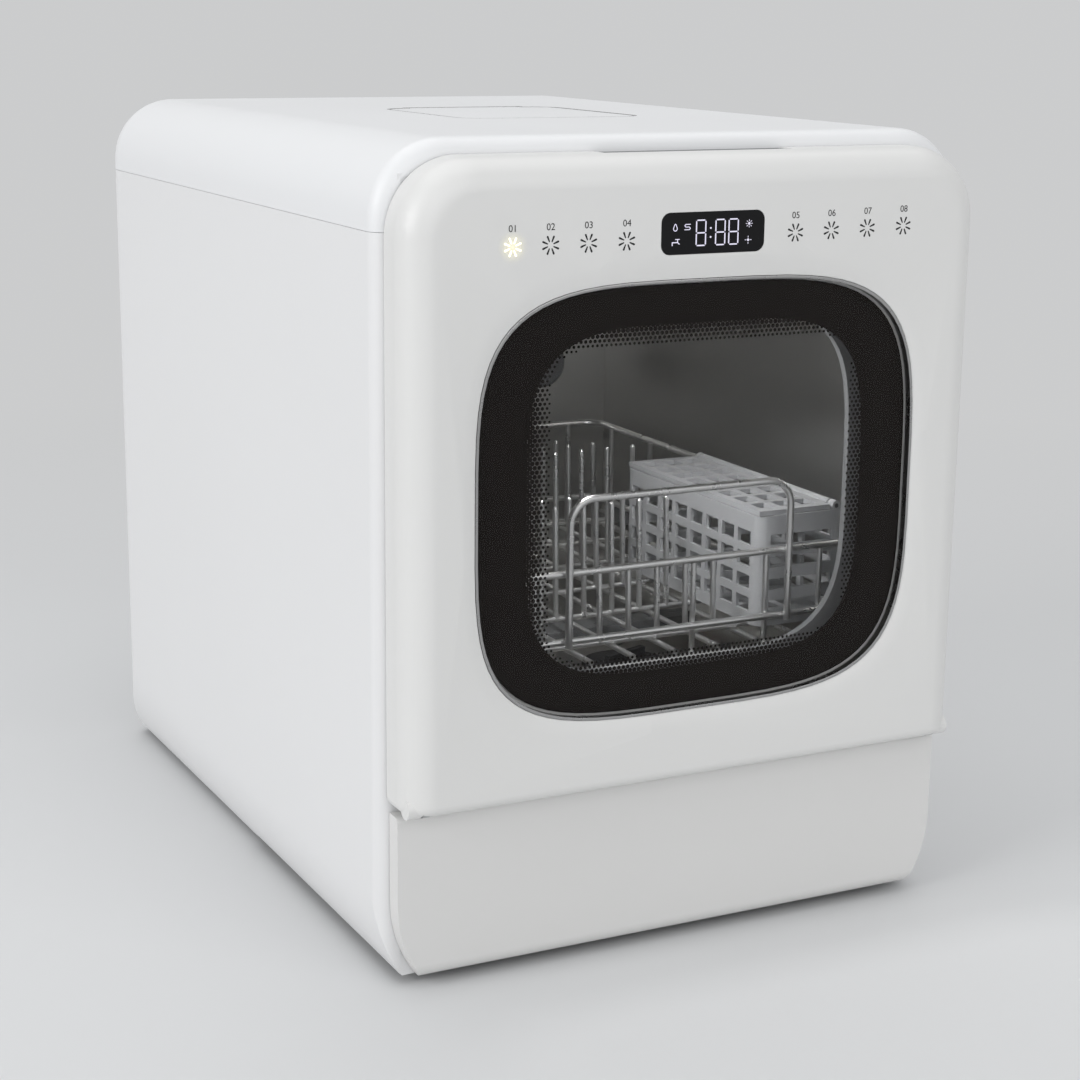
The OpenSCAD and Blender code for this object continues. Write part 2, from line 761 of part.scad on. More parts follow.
module cord_gland() color("black") {
    difference() {
        union() {
            rod_y(port_y - 4, port_y + wall + 6, cord_x, cord_z, 6.8);
            rod_y(port_y + wall + seat, port_y + wall + 3, cord_x, cord_z, 9);
        }
        rod_y(port_y - 5, back, cord_x, cord_z, 3.6);
    }
}

// ---- Wash system ----

module sump() color("gray") {
    difference() {
        union() {
            rod_z(sump_rim_z - 2, sump_rim_z, sump_c[0], sump_c[1], sump_r + 5);
            rod_z(sump_low, sump_rim_z, sump_c[0], sump_c[1], sump_r + 2.2);
            rod_z(well_low, sump_rim_z - 10, well_c[0], well_c[1], well_r + 2);
            rod_z(sump_low, arm_z - 2, arm_c[0], arm_c[1], tower_r);
            rod_z(arm_z - 3, arm_z + 8, arm_c[0], arm_c[1], bearing_r);
            rod_y(well_c[1] + 20, well_c[1] + well_r + 16, well_c[0], pump_z, 13);
            rod_y(well_c[1] - well_r - 10, well_c[1] - 20, well_c[0], drain_z, 10);
            for (a = [90, 210, 330])
                rod_z(floor_z + seat, well_low + 1, well_c[0] + 18 * cos(a), well_c[1] + 18 * sin(a), 4);
        }
        difference() {
            rod_z(sump_low + 2, sump_rim_z + cut, sump_c[0], sump_c[1], sump_r);
            rod_z(0, body_h, arm_c[0], arm_c[1], tower_r);
        }
        rod_z(well_low + 2, sump_rim_z, well_c[0], well_c[1], well_r);
        rod_z(sump_low - cut, arm_z + 3, arm_c[0], arm_c[1], bearing_r - 2);
        rod_y(well_c[1], well_c[1] + well_r + 17, well_c[0], pump_z, 10.5);
        rod_y(well_c[1] - well_r - 11, well_c[1], well_c[0], drain_z, 7.5);
        for (a = [0, 90]) translate([arm_c[0], arm_c[1], arm_z + 5.5]) rotate(a)
            cube([3, 30, 2], center = true);
    }
}

module filter_plate() color("lightgray") {
    z0 = sump_rim_z;
    difference() {
        rod_z(z0, z0 + 1.2, sump_c[0], sump_c[1], sump_r - seat);
        rod_z(z0 - cut, z0 + 3, arm_c[0], arm_c[1], tower_r + seat);
        rod_z(z0 - cut, z0 + 3, well_c[0], well_c[1], filter_r + 0.5);
        for (i = [0 : 17]) rotate_about(sump_c, i * 20 + 10)
            if (norm([50 * cos(i * 20 + 10), 50 * sin(i * 20 + 10)] + sump_c - well_c) > filter_r + 16
                && norm([50 * cos(i * 20 + 10), 50 * sin(i * 20 + 10)] + sump_c - arm_c) > tower_r + 12)
                translate([50, 0, z0]) cube([14, 3, 6], center = true);
    }
}

module rotate_about(c, a) translate([c[0], c[1], 0]) rotate(a) children();

module filter_cup() color("dimgray") {
    low = well_low + 8;
    top = tub_floor + 1.5;
    difference() {
        union() {
            rod_z(low, top, well_c[0], well_c[1], filter_r - 1);
            rod_z(tub_floor, top, well_c[0], well_c[1], filter_r + 2);
            translate([well_c[0], well_c[1], top]) rotate(20) translate([-16, -2, -1]) cube([32, 4, 8]);
        }
        rod_z(low + 2, tub_floor - 1, well_c[0], well_c[1], filter_r - 3);
        for (a = [0 : 30 : 330], k = [0 : 2]) translate([well_c[0], well_c[1], low + 10 + k * 13]) rotate(a)
            translate([filter_r - 2, 0, 0]) cube([8, 5, 9], center = true);
    }
}

module spray_arm() color("silver") {
    l = spray_l / 2;
    difference() {
        union() {
            translate([arm_c[0], arm_c[1], arm_z]) linear_extrude(6) union() {
                circle(15, $fn = 64);
                for (s = [-1, 1]) polygon(concat([[0, -11 * s], [0, 11 * s]], arm_tip(s, l)));
            }
            rod_z(arm_z - 1, arm_z + 9, arm_c[0], arm_c[1], 11);
        }
        rod_z(arm_z - 2, arm_z + 8 + 0.4, arm_c[0], arm_c[1], bearing_r + 0.08);
        for (s = [-1, 1], k = [0 : 4]) let (x = s * (32 + k * 18), y = s * (k % 2 == 0 ? 2 : -2))
            translate([arm_c[0] + x, arm_c[1] + y, arm_z + 5]) cube([6, 1.6, 4], center = true);
    }
}

function arm_tip(s, l) = [for (p = arc(l - 8, 0, 8, 90, -90, 10)) [s * p[0], s * p[1]]];

module wash_pump() color("dimgray") {
    y0 = well_c[1] + well_r + 16 + seat;
    difference() {
        union() {
            rod_y(y0, y0 + 22, well_c[0], pump_z, volute_r);
            rod_y(y0 + 22, y0 + 84, well_c[0], pump_z, volute_r - 7);
            rod_y(y0 + 84, y0 + 90, well_c[0], pump_z, volute_r - 12);
            box([well_c[0] - 18, y0 + 4, floor_z + seat], [well_c[0] + 18, y0 + 18, pump_z - volute_r + 8]);
            box([well_c[0] - 18, y0 + 60, floor_z + seat], [well_c[0] + 18, y0 + 70, pump_z - volute_r + 14]);
            rod_x(well_c[0] - volute_r - 10, well_c[0] - 10, y0 + 11, pump_z + 10, 9);
        }
        rod_y(y0 - cut, y0 + 4, well_c[0], pump_z, 10.5);
        rod_x(well_c[0] - volute_r - 11, well_c[0] - volute_r + 8, y0 + 11, pump_z + 10, 6.5);
    }
}

module wash_pipe() color("gray") {
    y0 = well_c[1] + well_r + 16 + seat + 11;
    x1 = well_c[0] - volute_r - 10 - seat;
    z = pump_z + 10;
    top = sump_low - seat;
    difference() {
        union() {
            rod_x(arm_c[0], x1, y0, z, 9);
            translate([arm_c[0], y0, z]) sphere(9, $fn = 48);
            rod_y(arm_c[1], y0, arm_c[0], z, 9);
            translate([arm_c[0], arm_c[1], z]) sphere(9, $fn = 48);
            rod_z(z, top, arm_c[0], arm_c[1], 9);
        }
        rod_x(arm_c[0], x1 + cut, y0, z, 6);
        rod_y(arm_c[1], y0, arm_c[0], z, 6);
        rod_z(z, top + cut, arm_c[0], arm_c[1], 6);
    }
}

module drain_pump() color("dimgray") {
    y1 = well_c[1] - well_r - 10 - seat;
    difference() {
        union() {
            rod_y(y1 - 24, y1, well_c[0], drain_z, 20);
            rod_y(y1 - 60, y1 - 24, well_c[0], drain_z, 17);
            box([well_c[0] - 12, y1 - 54, floor_z + seat], [well_c[0] + 12, y1 - 10, drain_z - 12]);
        }
        rod_y(y1 - 6, y1 + cut, well_c[0], drain_z, 7.5);
        rod_x(well_c[0] + 10, well_c[0] + 30, y1 - 12, drain_z, 9.2);
    }
}

module heater() color("silver") {
    x = arm_c[0] - 75;
    y0 = arm_c[1] - 60;
    z = floor_z + 34;
    rod_y(y0, y0 + 120, x, z, 18);
    for (y = [y0 + 12, y0 + 100]) box([x - 14, y, floor_z + seat], [x + 14, y + 8, z - 6]);
    for (y = [y0 - 12, y0 + 120]) rod_y(y, y + 12, x, z, 8);
}

module float_switch() color("ivory") {
    z0 = tub_floor + 0.3;
    translate([float_c[0], float_c[1], z0]) rotate_extrude($fn = 48)
        polygon([[0, 0], [10, 0], [10, 6], [8.5, 8.5], [0, 9]]);
    rod_z(tub_floor - 22, z0 + 1, float_c[0], float_c[1], 4.5);
    box([float_c[0] - 8, float_c[1] - 7, tub_floor - 32], [float_c[0] + 8, float_c[1] + 7, tub_floor - 20]);
}

module power_board() color("seagreen") {
    x1 = half_w - wall - seat;
    y0 = -60;
    z0 = tub_floor + 40;
    for (y = [8, 112], z = [8, 132]) rod_x(x1 - 8, x1, y0 + y, z0 + z, 3);
    box([x1 - 9, y0, z0], [x1 - 7.4, y0 + 120, z0 + 140]);
    // blocks on the board: place along it, height and size
    for (p = [[20, 30, 22], [60, 34, 26], [96, 20, 18], [30, 84, 24], [78, 96, 30]])
        translate([x1 - 12.5, y0 + p[0], z0 + p[1]]) cube([9, p[2], p[2]], center = true);
}

module drying_fan() color("dimgray") {
    y0 = tub_back + tub_t + 30;
    deep = 34;
    skin = 3;
    r = 36;
    out = 28;            // half width of the outlet
    y1 = inner_back - wall - 2 * seat;
    difference() {
        union() {
            rod_y(y0, y0 + deep, fan_x, fan_z, r);
            box([fan_x - out, y0 + deep, fan_z - out], [fan_x + out, y1, fan_z + out]);
        }
        rod_y(y0 + skin, y0 + deep - skin, fan_x, fan_z, r - skin);
        rod_y(y0 - cut, y0 + skin + cut, fan_x, fan_z, 20);
        for (s = [-1, 1]) translate([fan_x + s * 16, y0 + deep, fan_z])
            cube([20, 4 * skin, 48], center = true);
        box([fan_x - out + 2, y0 + deep + 2, fan_z - out + 2], [fan_x + out - 2, back, fan_z + out - 2]);
    }
    for (a = [0 : 30 : 330]) translate([fan_x, y0 + 5, fan_z]) rotate([-90, a, 0])
        translate([22, 0, 0]) cube([8, 1, 22]);
    rod_y(y0 + 4, y0 + 24, fan_x, fan_z, 23);
    rod_y(y0 + 23, y0 + deep - 1, fan_x, fan_z, 5);
}

module air_duct() color("lightgray") {
    y0 = tub_back + tub_t + seat;
    y1 = tub_back + tub_t + 30 - seat;
    difference() {
        hull() {
            rod_y(y0, y0 + 1, duct_x, duct_z, 22);
            rod_y(y1 - 1, y1, fan_x, fan_z, 23);
        }
        hull() {
            rod_y(y0 - cut, y0 + 1, duct_x, duct_z, 18);
            rod_y(y1 - 1, y1 + cut, fan_x, fan_z, 19);
        }
    }
}

module rack_rails() color("silver") {
    x = tub_w / 2 - seat;
    y0 = tub_front + 6;
    y1 = tub_back - 8;
    both() {
        box([x - 10, y0, rail_top - 2], [x, y1, rail_top]);
        box([x - 2, y0, rail_top - 10], [x, y1, rail_top]);
    }
}

// ---- Door ----

// The outer glass seen from the front, wider by extra
module glass_outline(extra) translate([0, glass_z])
    polygon(squircle(glass_w / 2 + extra, glass_h / 2 + extra));

// The door's outer form, drawn in by inset
module door_form(inset) {
    hw = door_hw - inset;
    f = front + inset;
    r = door_top_r - inset;
    e = door_edge_r - inset;
    low = door_low + inset;
    rl = door_low_r - inset;
    deep = door_back - f;
    mid = hw - r;
    wide = hw - e;
    top = door_top - inset - r;
    knee = low + rl;
    box([-mid, f, knee], [mid, door_back, top]);
    along_x(-mid, mid) translate([door_back, top]) mirror([1, 0]) eased([deep, r], e);
    along_x(-wide, wide) translate([door_back, knee]) rotate(180) eased([deep, rl], rl);
    both() {
        translate([mid, door_back, knee]) mirror([0, 1, 0]) linear_extrude(top - knee) eased([r, deep], e);
        corner_y(mid, door_back, top) mirror([0, 1]) eased([r, deep], e);
        along_y(f + e, door_back) translate([wide, knee]) mirror([0, 1]) eased([e, rl], rl);
        translate([wide, f + e, knee]) mirror([0, 1, 0]) mirror([0, 0, 1])
            rotate_extrude(angle = 90, $fn = 64) eased([e, rl], rl);
    }
}

// What the shell keeps free inside: all but the ring under the glass and the blocks behind the hinge notches
module door_hollow() {
    difference() {
        door_form(shell_t);
        along_y(front, glass_ledge + ledge_t) glass_outline(ring_w);
        both() box([arm_x - 8, front, door_low], [arm_x + 8, front + shell_t + 1, door_low + 12]);
    }
    box([-door_hw + shell_t, door_back - liner_t - seat, door_low + 4],
        [door_hw - shell_t, door_back + cut, door_top - 40]);
    along_y(door_back - liner_t - seat, door_back + cut) liner_outline(seat);
}

// Bosses that carry the right hinge pin, on both sides of the hinge arm
module hinge_bosses() {
    inner = arm_x - arm_slot / 2;
    rod_x(arm_x + arm_slot / 2, door_hw - 2, axis_y, axis_z, eye_r - 0.2);
    rod_x(inner - 6, inner, axis_y, axis_z, eye_r - 0.2);
    box([inner - 6, axis_y - 3, door_low + 1], [inner, axis_y + 3, axis_z]);
}

module door_shell() color("whitesmoke") {
    difference() {
        union() {
            difference() {
                door_form(0);
                door_hollow();
            }
            both() hinge_bosses();
        }
        dish();
        along_y(glass_y - cut, glass_ledge) glass_outline(trim_w + seat);
        along_y(front - cut, door_back) glass_outline(-9);
        along_y(front - cut, front + shell_t + 2) display_outline(seat);
        both() {
            box([arm_x - arm_slot / 2, front + shell_t + 0.6, door_low - cut],
                [arm_x + arm_slot / 2, door_back + cut, axis_z + eye_r + 1.5]);
            rod_x(arm_x - 20, door_hw - 4, axis_y, axis_z, pin_r + 0.02);
        }
        recess_box(seat);
    }
}

module display_outline(extra) translate([0, display_z])
    rounded(display_w + 2 * extra, display_h + 2 * extra, 5);

// The finger recess in the door's upper edge, wider by extra
module recess_box(extra) box(
    [-recess_w / 2 - extra, recess_front - extra, door_top - recess_h - extra],
    [recess_w / 2 + extra, door_back + cut, door_top + cut]);

// Shallow dish that slopes from the door's face to the glass
module dish() {
    hw = glass_w / 2 + trim_w + seat;
    hh = glass_h / 2 + trim_w + seat;
    translate([0, glass_y, glass_z]) rotate([90, 0, 0])
        linear_extrude(height = dish_t + 0.01, scale = [dish_hw / hw, dish_hh / hh], slices = 1)
            polygon(squircle(hw, hh));
}

module liner_outline(extra) {
    hw = door_hw - shell_t - 0.4 + extra;
    r = door_top_r - shell_t - 0.4 + extra;
    top = door_top - shell_t - 0.4 + extra;
    polygon(concat([[hw, door_low + 5 - extra]], arc(hw - r, top - r, r, 0, 90, 16),
        arc(-hw + r, top - r, r, 90, 180, 16), [[-hw, door_low + 5 - extra]]));
}

// The inner glass seen from the front, wider by extra
module window_outline(extra) translate([0, glass_z])
    polygon(squircle(glass_w / 2 - 18 + extra, glass_h / 2 - 12 + extra));

module door_liner() color("lightgray") {
    difference() {
        union() {
            along_y(door_back - liner_t, door_back) liner_outline(0);
            along_y(door_back - cut, plug_back) mouth(-plug_side);
        }
        along_y(door_back - liner_t - cut, plug_back + cut) window_outline(-6);
        along_y(plug_back - glass_t, plug_back + cut) window_outline(seat);
        box([-soap_w / 2 - seat, door_back - liner_t - cut, soap_z0 - seat],
            [soap_w / 2 + seat, plug_back + cut, soap_z1 + seat]);
        recess_box(1);
        both() box([arm_x - arm_slot / 2, door_back - liner_t - cut, door_low],
            [arm_x + arm_slot / 2, door_back + cut, axis_z + eye_r + 1.5]);
    }
}

module outer_glass() color([0.2, 0.2, 0.2, 0.5]) along_y(glass_y, glass_back - seat) glass_outline(0);

module glass_border() color("black") {
    difference() {
        along_y(glass_back, glass_back + border_t) glass_outline(-1);
        along_y(glass_back - cut, glass_back + 2) translate([0, glass_z])
            polygon(squircle(window_w / 2 + 8, window_h / 2 + 8));
    }
}

module glass_trim() color("silver") {
    difference() {
        along_y(glass_y - 0.4, glass_back - seat) glass_outline(trim_w);
        along_y(glass_y - cut, glass_back) glass_outline(0.1);
    }
}

module inner_glass() color([0.6, 0.7, 0.7, 0.4])
    along_y(plug_back - glass_t + seat, plug_back) window_outline(0);

module display_window() color("black") along_y(front, front + shell_t + 0.5) display_outline(0);

// Board behind the keys, with a pad for each key and for the display
module touch_board() color("seagreen") {
    y0 = front + shell_t + 2.5;
    w = 232;
    low = glass_z + glass_h / 2 + ring_w + 0.3;
    high = display_z + display_h / 2 + 3;
    difference() {
        box([-w / 2, y0, low], [w / 2, y0 + 1.6, high]);
        both() rod_y(y0 - cut, y0 + 3, 112, display_z - 8, 1.6);
    }
    for (s = [-1, 1], k = [0 : 3])
        rod_y(front + shell_t + seat, y0 + 0.1, s * (key_x + k * key_pitch), display_z - 2.5, 4);
    along_y(front + shell_t + 0.5 + seat, y0 + 0.1) translate([0, display_z])
        square([display_w - 4, display_h - 4], center = true);
    along_y(y0 + 1.5, y0 + 7) translate([46, display_z]) square([18, 14], center = true);
}

module handle_liner() color("gray") {
    skin = 1.6;
    difference() {
        box([-recess_w / 2, recess_front, door_top - recess_h],
            [recess_w / 2, door_back - seat, door_top - 0.4]);
        recess_box(-skin);
    }
}

module latch_strike() color("silver") {
    box([-14, door_back + seat, strike_z - 8], [14, door_back + 1.8, strike_z + 10]);
    difference() {
        box([-6, door_back + 1.7, strike_z - 1], [6, door_back + 26, strike_z + 3]);
        box([-3, door_back + 16, strike_z - 2], [3, door_back + 22, strike_z + 4]);
    }
}

module hinge_pins() color("silver")
    both() rod_x(arm_x - arm_slot / 2 - 5.5, door_hw - 4.5, axis_y, axis_z, pin_r);

// Dispenser in the door's liner: a cup for detergent, a cup for rinse aid and grooves for the slide
module detergent_box() color("white") {
    groove = 2.6;
    lip = 2;
    difference() {
        box([-soap_w / 2, door_back - liner_t - 12, soap_z0], [soap_w / 2, plug_back, soap_z1]);
        box([-soap_w / 2 + 3, door_back - liner_t - 10, soap_z0 + 3], [2, plug_back + cut, soap_z1 - 3]);
        box([6, plug_back - 6, soap_z0 + 5], [soap_w / 2 - 4, plug_back + cut, soap_z1 - 5]);
    }
    for (z = [soap_z0, soap_z1 - lip]) difference() {
        box([-soap_w / 2, plug_back - 0.1, z], [soap_w / 2, plug_back + groove + 1.4, z + lip]);
        box([-soap_w / 2 - cut, plug_back, soap_z0 + 0.9],
            [soap_w / 2 + cut, plug_back + groove, soap_z1 - 0.9]);
    }
}

module detergent_lid() color("lightgray") {
    union() {
        box([-soap_w / 2 + 1, plug_back + 0.4, soap_z0 + 1.3], [4, plug_back + 2.2, soap_z1 - 1.3]);
        for (x = [-4, -8, -12]) box([x, plug_back + 2.1, soap_z0 + 6], [x + 2, plug_back + 3.6, soap_z1 - 6]);
    }
}

// ---- Rack ----

// Bend of a frame wire round a corner, from +X towards +Y
module wire_bend(angle = 90)
    rotate_extrude(angle = angle, $fn = 64) translate([rack_bend, 0]) circle(wire_r, $fn = 64);

// Upright tine with an eased tip, leaning back by lean degrees
module tine(height, lean) rotate([-lean, 0, 0]) rotate_extrude($fn = 32)
    polygon([[0, 0], [tine_r, 0], [tine_r, height - tine_r], [tine_r / 2, height], [0, height]]);

// Ring of frame wire with round corners at one height
module wire_ring(z) {
    for (x = [-frame_x, frame_x]) rod_y(frame_y0 + rack_bend, frame_y1 - rack_bend, x, z, wire_r);
    for (y = [frame_y0, frame_y1]) rod_x(-frame_x + rack_bend, frame_x - rack_bend, y, z, wire_r);
    both() {
        translate([frame_x - rack_bend, frame_y1 - rack_bend, z]) wire_bend();
        translate([frame_x - rack_bend, frame_y0 + rack_bend, z]) rotate(-90) wire_bend();
    }
}

// Upper rim: high at the sides and the back, lower along the front
module rack_rim() color("silver") {
    rod_x(-frame_x + rack_bend, frame_x - rack_bend, frame_y0, rim_front_z, wire_r);
    rod_x(-frame_x + rack_bend, frame_x - rack_bend, frame_y1, rim_z, wire_r);
    both() {
        translate([frame_x - rack_bend, rim_y0, rim_front_z]) rotate(-90) wire_bend();
        translate([frame_x, rim_y0, rim_front_z + rack_bend]) rotate([0, 90, 0]) wire_bend(rim_angle);
        translate([frame_x, rim_y0 + rim_bend_y, rim_front_z + rim_bend_z])
            rotate([rim_angle - 90, 0, 0]) cylinder(h = rim_straight, r = wire_r, $fn = 64);
        translate([frame_x, rim_y1, rim_z - rack_bend]) rotate([180, 0, 0]) rotate([0, 90, 0])
            wire_bend(rim_angle);
        rod_y(rim_y1, frame_y1 - rack_bend, frame_x, rim_z, wire_r);
        translate([frame_x - rack_bend, frame_y1 - rack_bend, rim_z]) wire_bend();
    }
}

// Two rings of frame wire, with the uprights welded to their inner side
module rack_frame() color("silver") {
    low = base_z - wire_r;
    wire_ring(base_z);
    wire_ring(belt_z);
    for (k = [0 : row_count - 1]) let (y = row_y(k))
        both() rod_z(low, rim_height(y), frame_x - post_in, y, tine_r);
    for (x = front_posts) {
        rod_z(low, rim_front_z, x, frame_y0 + post_in, tine_r);
        rod_z(low, rim_z, x, frame_y1 - post_in, tine_r);
    }
}

// Floor wires, front to back
module rack_floor() color("silver") for (i = [0 : floor_cols - 1])
    rod_y(frame_y0, frame_y1, (i - (floor_cols - 1) / 2) * floor_pitch, floor_wire_z, tine_r);

// Rows of tines, with plain wires where the cutlery basket stands
module tine_rows() color("silver") for (k = [0 : row_count - 1]) {
    y = row_y(k);
    end = frame_x - post_in - tine_r - seat;
    beside = basket_x - basket_w / 2 - 4;
    short = y < basket_y + basket_l / 2 + 6;
    rod_x(-end, short ? beside : end, y, rack_z, row_r);
    if (short) rod_x(beside + seat, end, y, rack_z, row_r);
    for (i = [0 : tine_cols - 1]) let (x = -rack_hw + 20 + i * tine_pitch)
        if (!short || x < beside - 2) translate([x, y, rack_z]) tine(tine_heights[k], tine_lean);
}

// Handle loop that stands on the front of the frame
module rack_handle() color("silver") translate([handle_x, frame_y0 - 2 * wire_r - seat, 0]) {
    top = rim_front_z + handle_h;
    reach = handle_w / 2 - rack_bend;
    rod_x(-reach, reach, 0, top, wire_r);
    both() {
        rod_z(belt_z - wire_r, top - rack_bend, handle_w / 2, 0, wire_r);
        translate([reach, 0, top - rack_bend]) rotate([90, 0, 0]) wire_bend();
    }
}

module rack_glides() color("gray") both() for (y = [rack_front + 30, rack_back - 40])
    box([rack_hw + seat, y, rail_top + 0.3], [rack_hw + 9, y + 22, rail_top + 14]);

module cutlery_basket() color("white") {
    w = basket_w / 2;
    l = basket_l / 2;
    r = 6;
    cols = 8;
    pitch = (basket_l - 2 * r) / cols;
    rows = [11, 23.5, 36, 48.5];     // heights of the rows of holes
    knuckle = 5;
    translate([basket_x, basket_y, basket_z]) difference() {
        union() {
            difference() {
                linear_extrude(basket_h) rounded(basket_w, basket_l, r);
                translate([0, 0, basket_t]) linear_extrude(basket_h)
                    rounded(basket_w - 2 * basket_t, basket_l - 2 * basket_t, r - basket_t);
            }
            for (y = [-l / 3, l / 3]) translate([-w + 1, y - 0.8, 0]) cube([basket_w - 2, 1.6, basket_h - 8]);
        }
        for (i = [0 : cols - 1], z = rows) translate([0, -l + r + pitch * (i + 0.5), z])
            cube([basket_w + 4, pitch - 4, 8], center = true);
        for (z = rows) translate([0, 0, z]) cube([basket_w - 16, basket_l + 4, 6], center = true);
        for (i = [0 : cols - 1], x = [-12.5, 0, 12.5]) translate([x, -l + r + pitch * (i + 0.5), 0])
            cube([8, pitch - 5, 8], center = true);
    }
    for (s = [-1, 1]) let (y = basket_y + s * (l - 3)) difference() {
        rod_y(y - knuckle / 2, y + knuckle / 2, lid_axis_x, lid_axis_z, lid_barrel_r);
        rod_y(y - knuckle, y + knuckle, lid_axis_x, lid_axis_z, lid_r + 0.02);
    }
}

module lid_pin() color("silver")
    rod_y(basket_y - basket_l / 2 + 0.6, basket_y + basket_l / 2 - 0.6, lid_axis_x, lid_axis_z, lid_r);

module cutlery_lid() color("white") {
    edge = 1;
    x0 = basket_x - basket_w / 2 + edge;
    x1 = lid_axis_x - 4;
    l = basket_l / 2 - edge;
    reach = basket_l / 2 - 7;
    z0 = basket_z + basket_h + 0.5;
    thick = 2.6;
    cols = 3;
    rows = 8;
    col = (x1 - x0 - 6) / cols;
    row = (2 * l - 8) / rows;
    difference() {
        union() {
            box([x0, basket_y - l, z0], [x1, basket_y + l, z0 + thick]);
            box([x1 - 1, basket_y - reach, z0], [lid_axis_x, basket_y + reach, z0 + thick]);
            rod_y(basket_y - reach, basket_y + reach, lid_axis_x, lid_axis_z, lid_barrel_r);
        }
        rod_y(basket_y - basket_l, basket_y + basket_l, lid_axis_x, lid_axis_z, lid_r + 0.06);
        for (i = [0 : cols - 1], j = [0 : rows - 1])
            translate([x0 + 3 + col * (i + 0.5), basket_y - l + 4 + row * (j + 0.5), z0])
                cube([col - 4, row - 5, 3 * thick], center = true);
    }
}

left_panel();
right_panel();
top_cover();
back_panel();
back_screws();
kick_panel();
base_tray();
feet();
front_frame();
tub();
door_gasket();
hinge_left();
hinge_right();
latch_block();
hatch_rim();
hatch_pin();
fill_funnel();
water_tank();
inlet_valve();
drain_port();
drain_hose();
cord_gland();
sump();
filter_plate();
wash_pump();
wash_pipe();
drain_pump();
heater();
float_switch();
power_board();
drying_fan();
air_duct();
rack_rails();
interior_lamp();
door_shell();
door_liner();
outer_glass();
glass_border();
glass_trim();
inner_glass();
display_window();
touch_board();
handle_liner();
latch_strike();
hinge_pins();
detergent_box();
detergent_lid();
rack_frame();
rack_rim();
rack_floor();
tine_rows();
rack_handle();
rack_glides();
cutlery_basket();
cutlery_lid();
lid_pin();
spray_arm();
filter_cup();
hatch_lid();
hatch_seal();
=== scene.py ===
"""Looks for the countertop dishwasher: camera, materials, window dots, fillers, printed marks and studio.

Lengths are in metres. The frame is the CAD's: the front faces -Y, +X is to the right, z = 0 is the worktop.
"""
import json
import math

import bmesh
import bpy
from mathutils import Matrix, Vector

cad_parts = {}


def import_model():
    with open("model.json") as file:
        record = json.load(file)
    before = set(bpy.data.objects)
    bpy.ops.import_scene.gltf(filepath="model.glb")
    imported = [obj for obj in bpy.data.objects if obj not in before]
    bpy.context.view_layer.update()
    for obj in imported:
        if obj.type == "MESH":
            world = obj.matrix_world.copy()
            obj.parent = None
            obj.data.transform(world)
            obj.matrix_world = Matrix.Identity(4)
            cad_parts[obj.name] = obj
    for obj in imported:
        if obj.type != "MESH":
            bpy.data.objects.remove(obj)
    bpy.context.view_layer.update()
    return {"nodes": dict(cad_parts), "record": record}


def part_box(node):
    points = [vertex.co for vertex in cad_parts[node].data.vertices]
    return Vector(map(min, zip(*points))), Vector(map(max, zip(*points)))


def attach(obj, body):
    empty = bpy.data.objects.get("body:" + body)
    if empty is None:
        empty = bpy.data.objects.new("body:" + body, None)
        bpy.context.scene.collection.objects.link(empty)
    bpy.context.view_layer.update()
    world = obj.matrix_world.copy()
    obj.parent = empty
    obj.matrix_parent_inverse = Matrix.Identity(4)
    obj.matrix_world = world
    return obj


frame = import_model()
scene = bpy.context.scene


# ---- Camera ----

IMAGE = 1080        # side of the square frame in pixels
SENSOR = 36         # width of the sensor in millimetres
# A pinhole fitted to the machine's edges: focal length in pixels, angles in degrees, place in metres
FOCAL, YAW, PITCH, ROLL = 2218.3, 26.807, 13.602, 0.64
EYE = Vector((-0.5718, -1.1903, 0.4921))


def make_camera():
    yaw, pitch, roll = map(math.radians, (YAW, PITCH, ROLL))
    forward = Vector((math.sin(yaw) * math.cos(pitch), math.cos(yaw) * math.cos(pitch), -math.sin(pitch)))
    right = Vector((math.cos(yaw), -math.sin(yaw), 0))
    down = forward.cross(right)
    side = right * math.cos(roll) - down * math.sin(roll)
    up = -(right * math.sin(roll) + down * math.cos(roll))
    data = bpy.data.cameras.new("camera")
    data.sensor_width = SENSOR
    data.lens = FOCAL / IMAGE * SENSOR
    data.clip_start, data.clip_end = 0.05, 60
    camera = bpy.data.objects.new("camera", data)
    scene.collection.objects.link(camera)
    turn = Matrix((side, up, -forward)).transposed().to_4x4()
    camera.matrix_world = Matrix.Translation(EYE) @ turn
    scene.camera = camera


# ---- Material helpers ----

def new_material(name):
    """A material with its node tree and its shader."""
    m = bpy.data.materials.new(name)
    m.use_nodes = True
    return m, m.node_tree, m.node_tree.nodes["Principled BSDF"]


def link(tree, a, b):
    tree.links.new(a, b)


def math_node(tree, operation, a, b):
    """The result of operation on the socket a and on b, which is a socket or a number."""
    node = tree.nodes.new("ShaderNodeMath")
    node.operation = operation
    link(tree, a, node.inputs[0])
    if isinstance(b, float):
        node.inputs[1].default_value = b
    else:
        link(tree, b, node.inputs[1])
    return node.outputs[0]


def coords(tree, stretch=(1, 1, 1)):
    """Object coordinates, stretched."""
    place = tree.nodes.new("ShaderNodeTexCoord")
    mapping = tree.nodes.new("ShaderNodeMapping")
    mapping.inputs["Scale"].default_value = stretch
    link(tree, place.outputs["Object"], mapping.inputs["Vector"])
    return mapping.outputs["Vector"]


def noise(tree, where, scale, detail, rough=0.5):
    node = tree.nodes.new("ShaderNodeTexNoise")
    node.inputs["Scale"].default_value = scale
    node.inputs["Detail"].default_value = detail
    node.inputs["Roughness"].default_value = rough
    link(tree, where, node.inputs["Vector"])
    return node.outputs["Fac"]


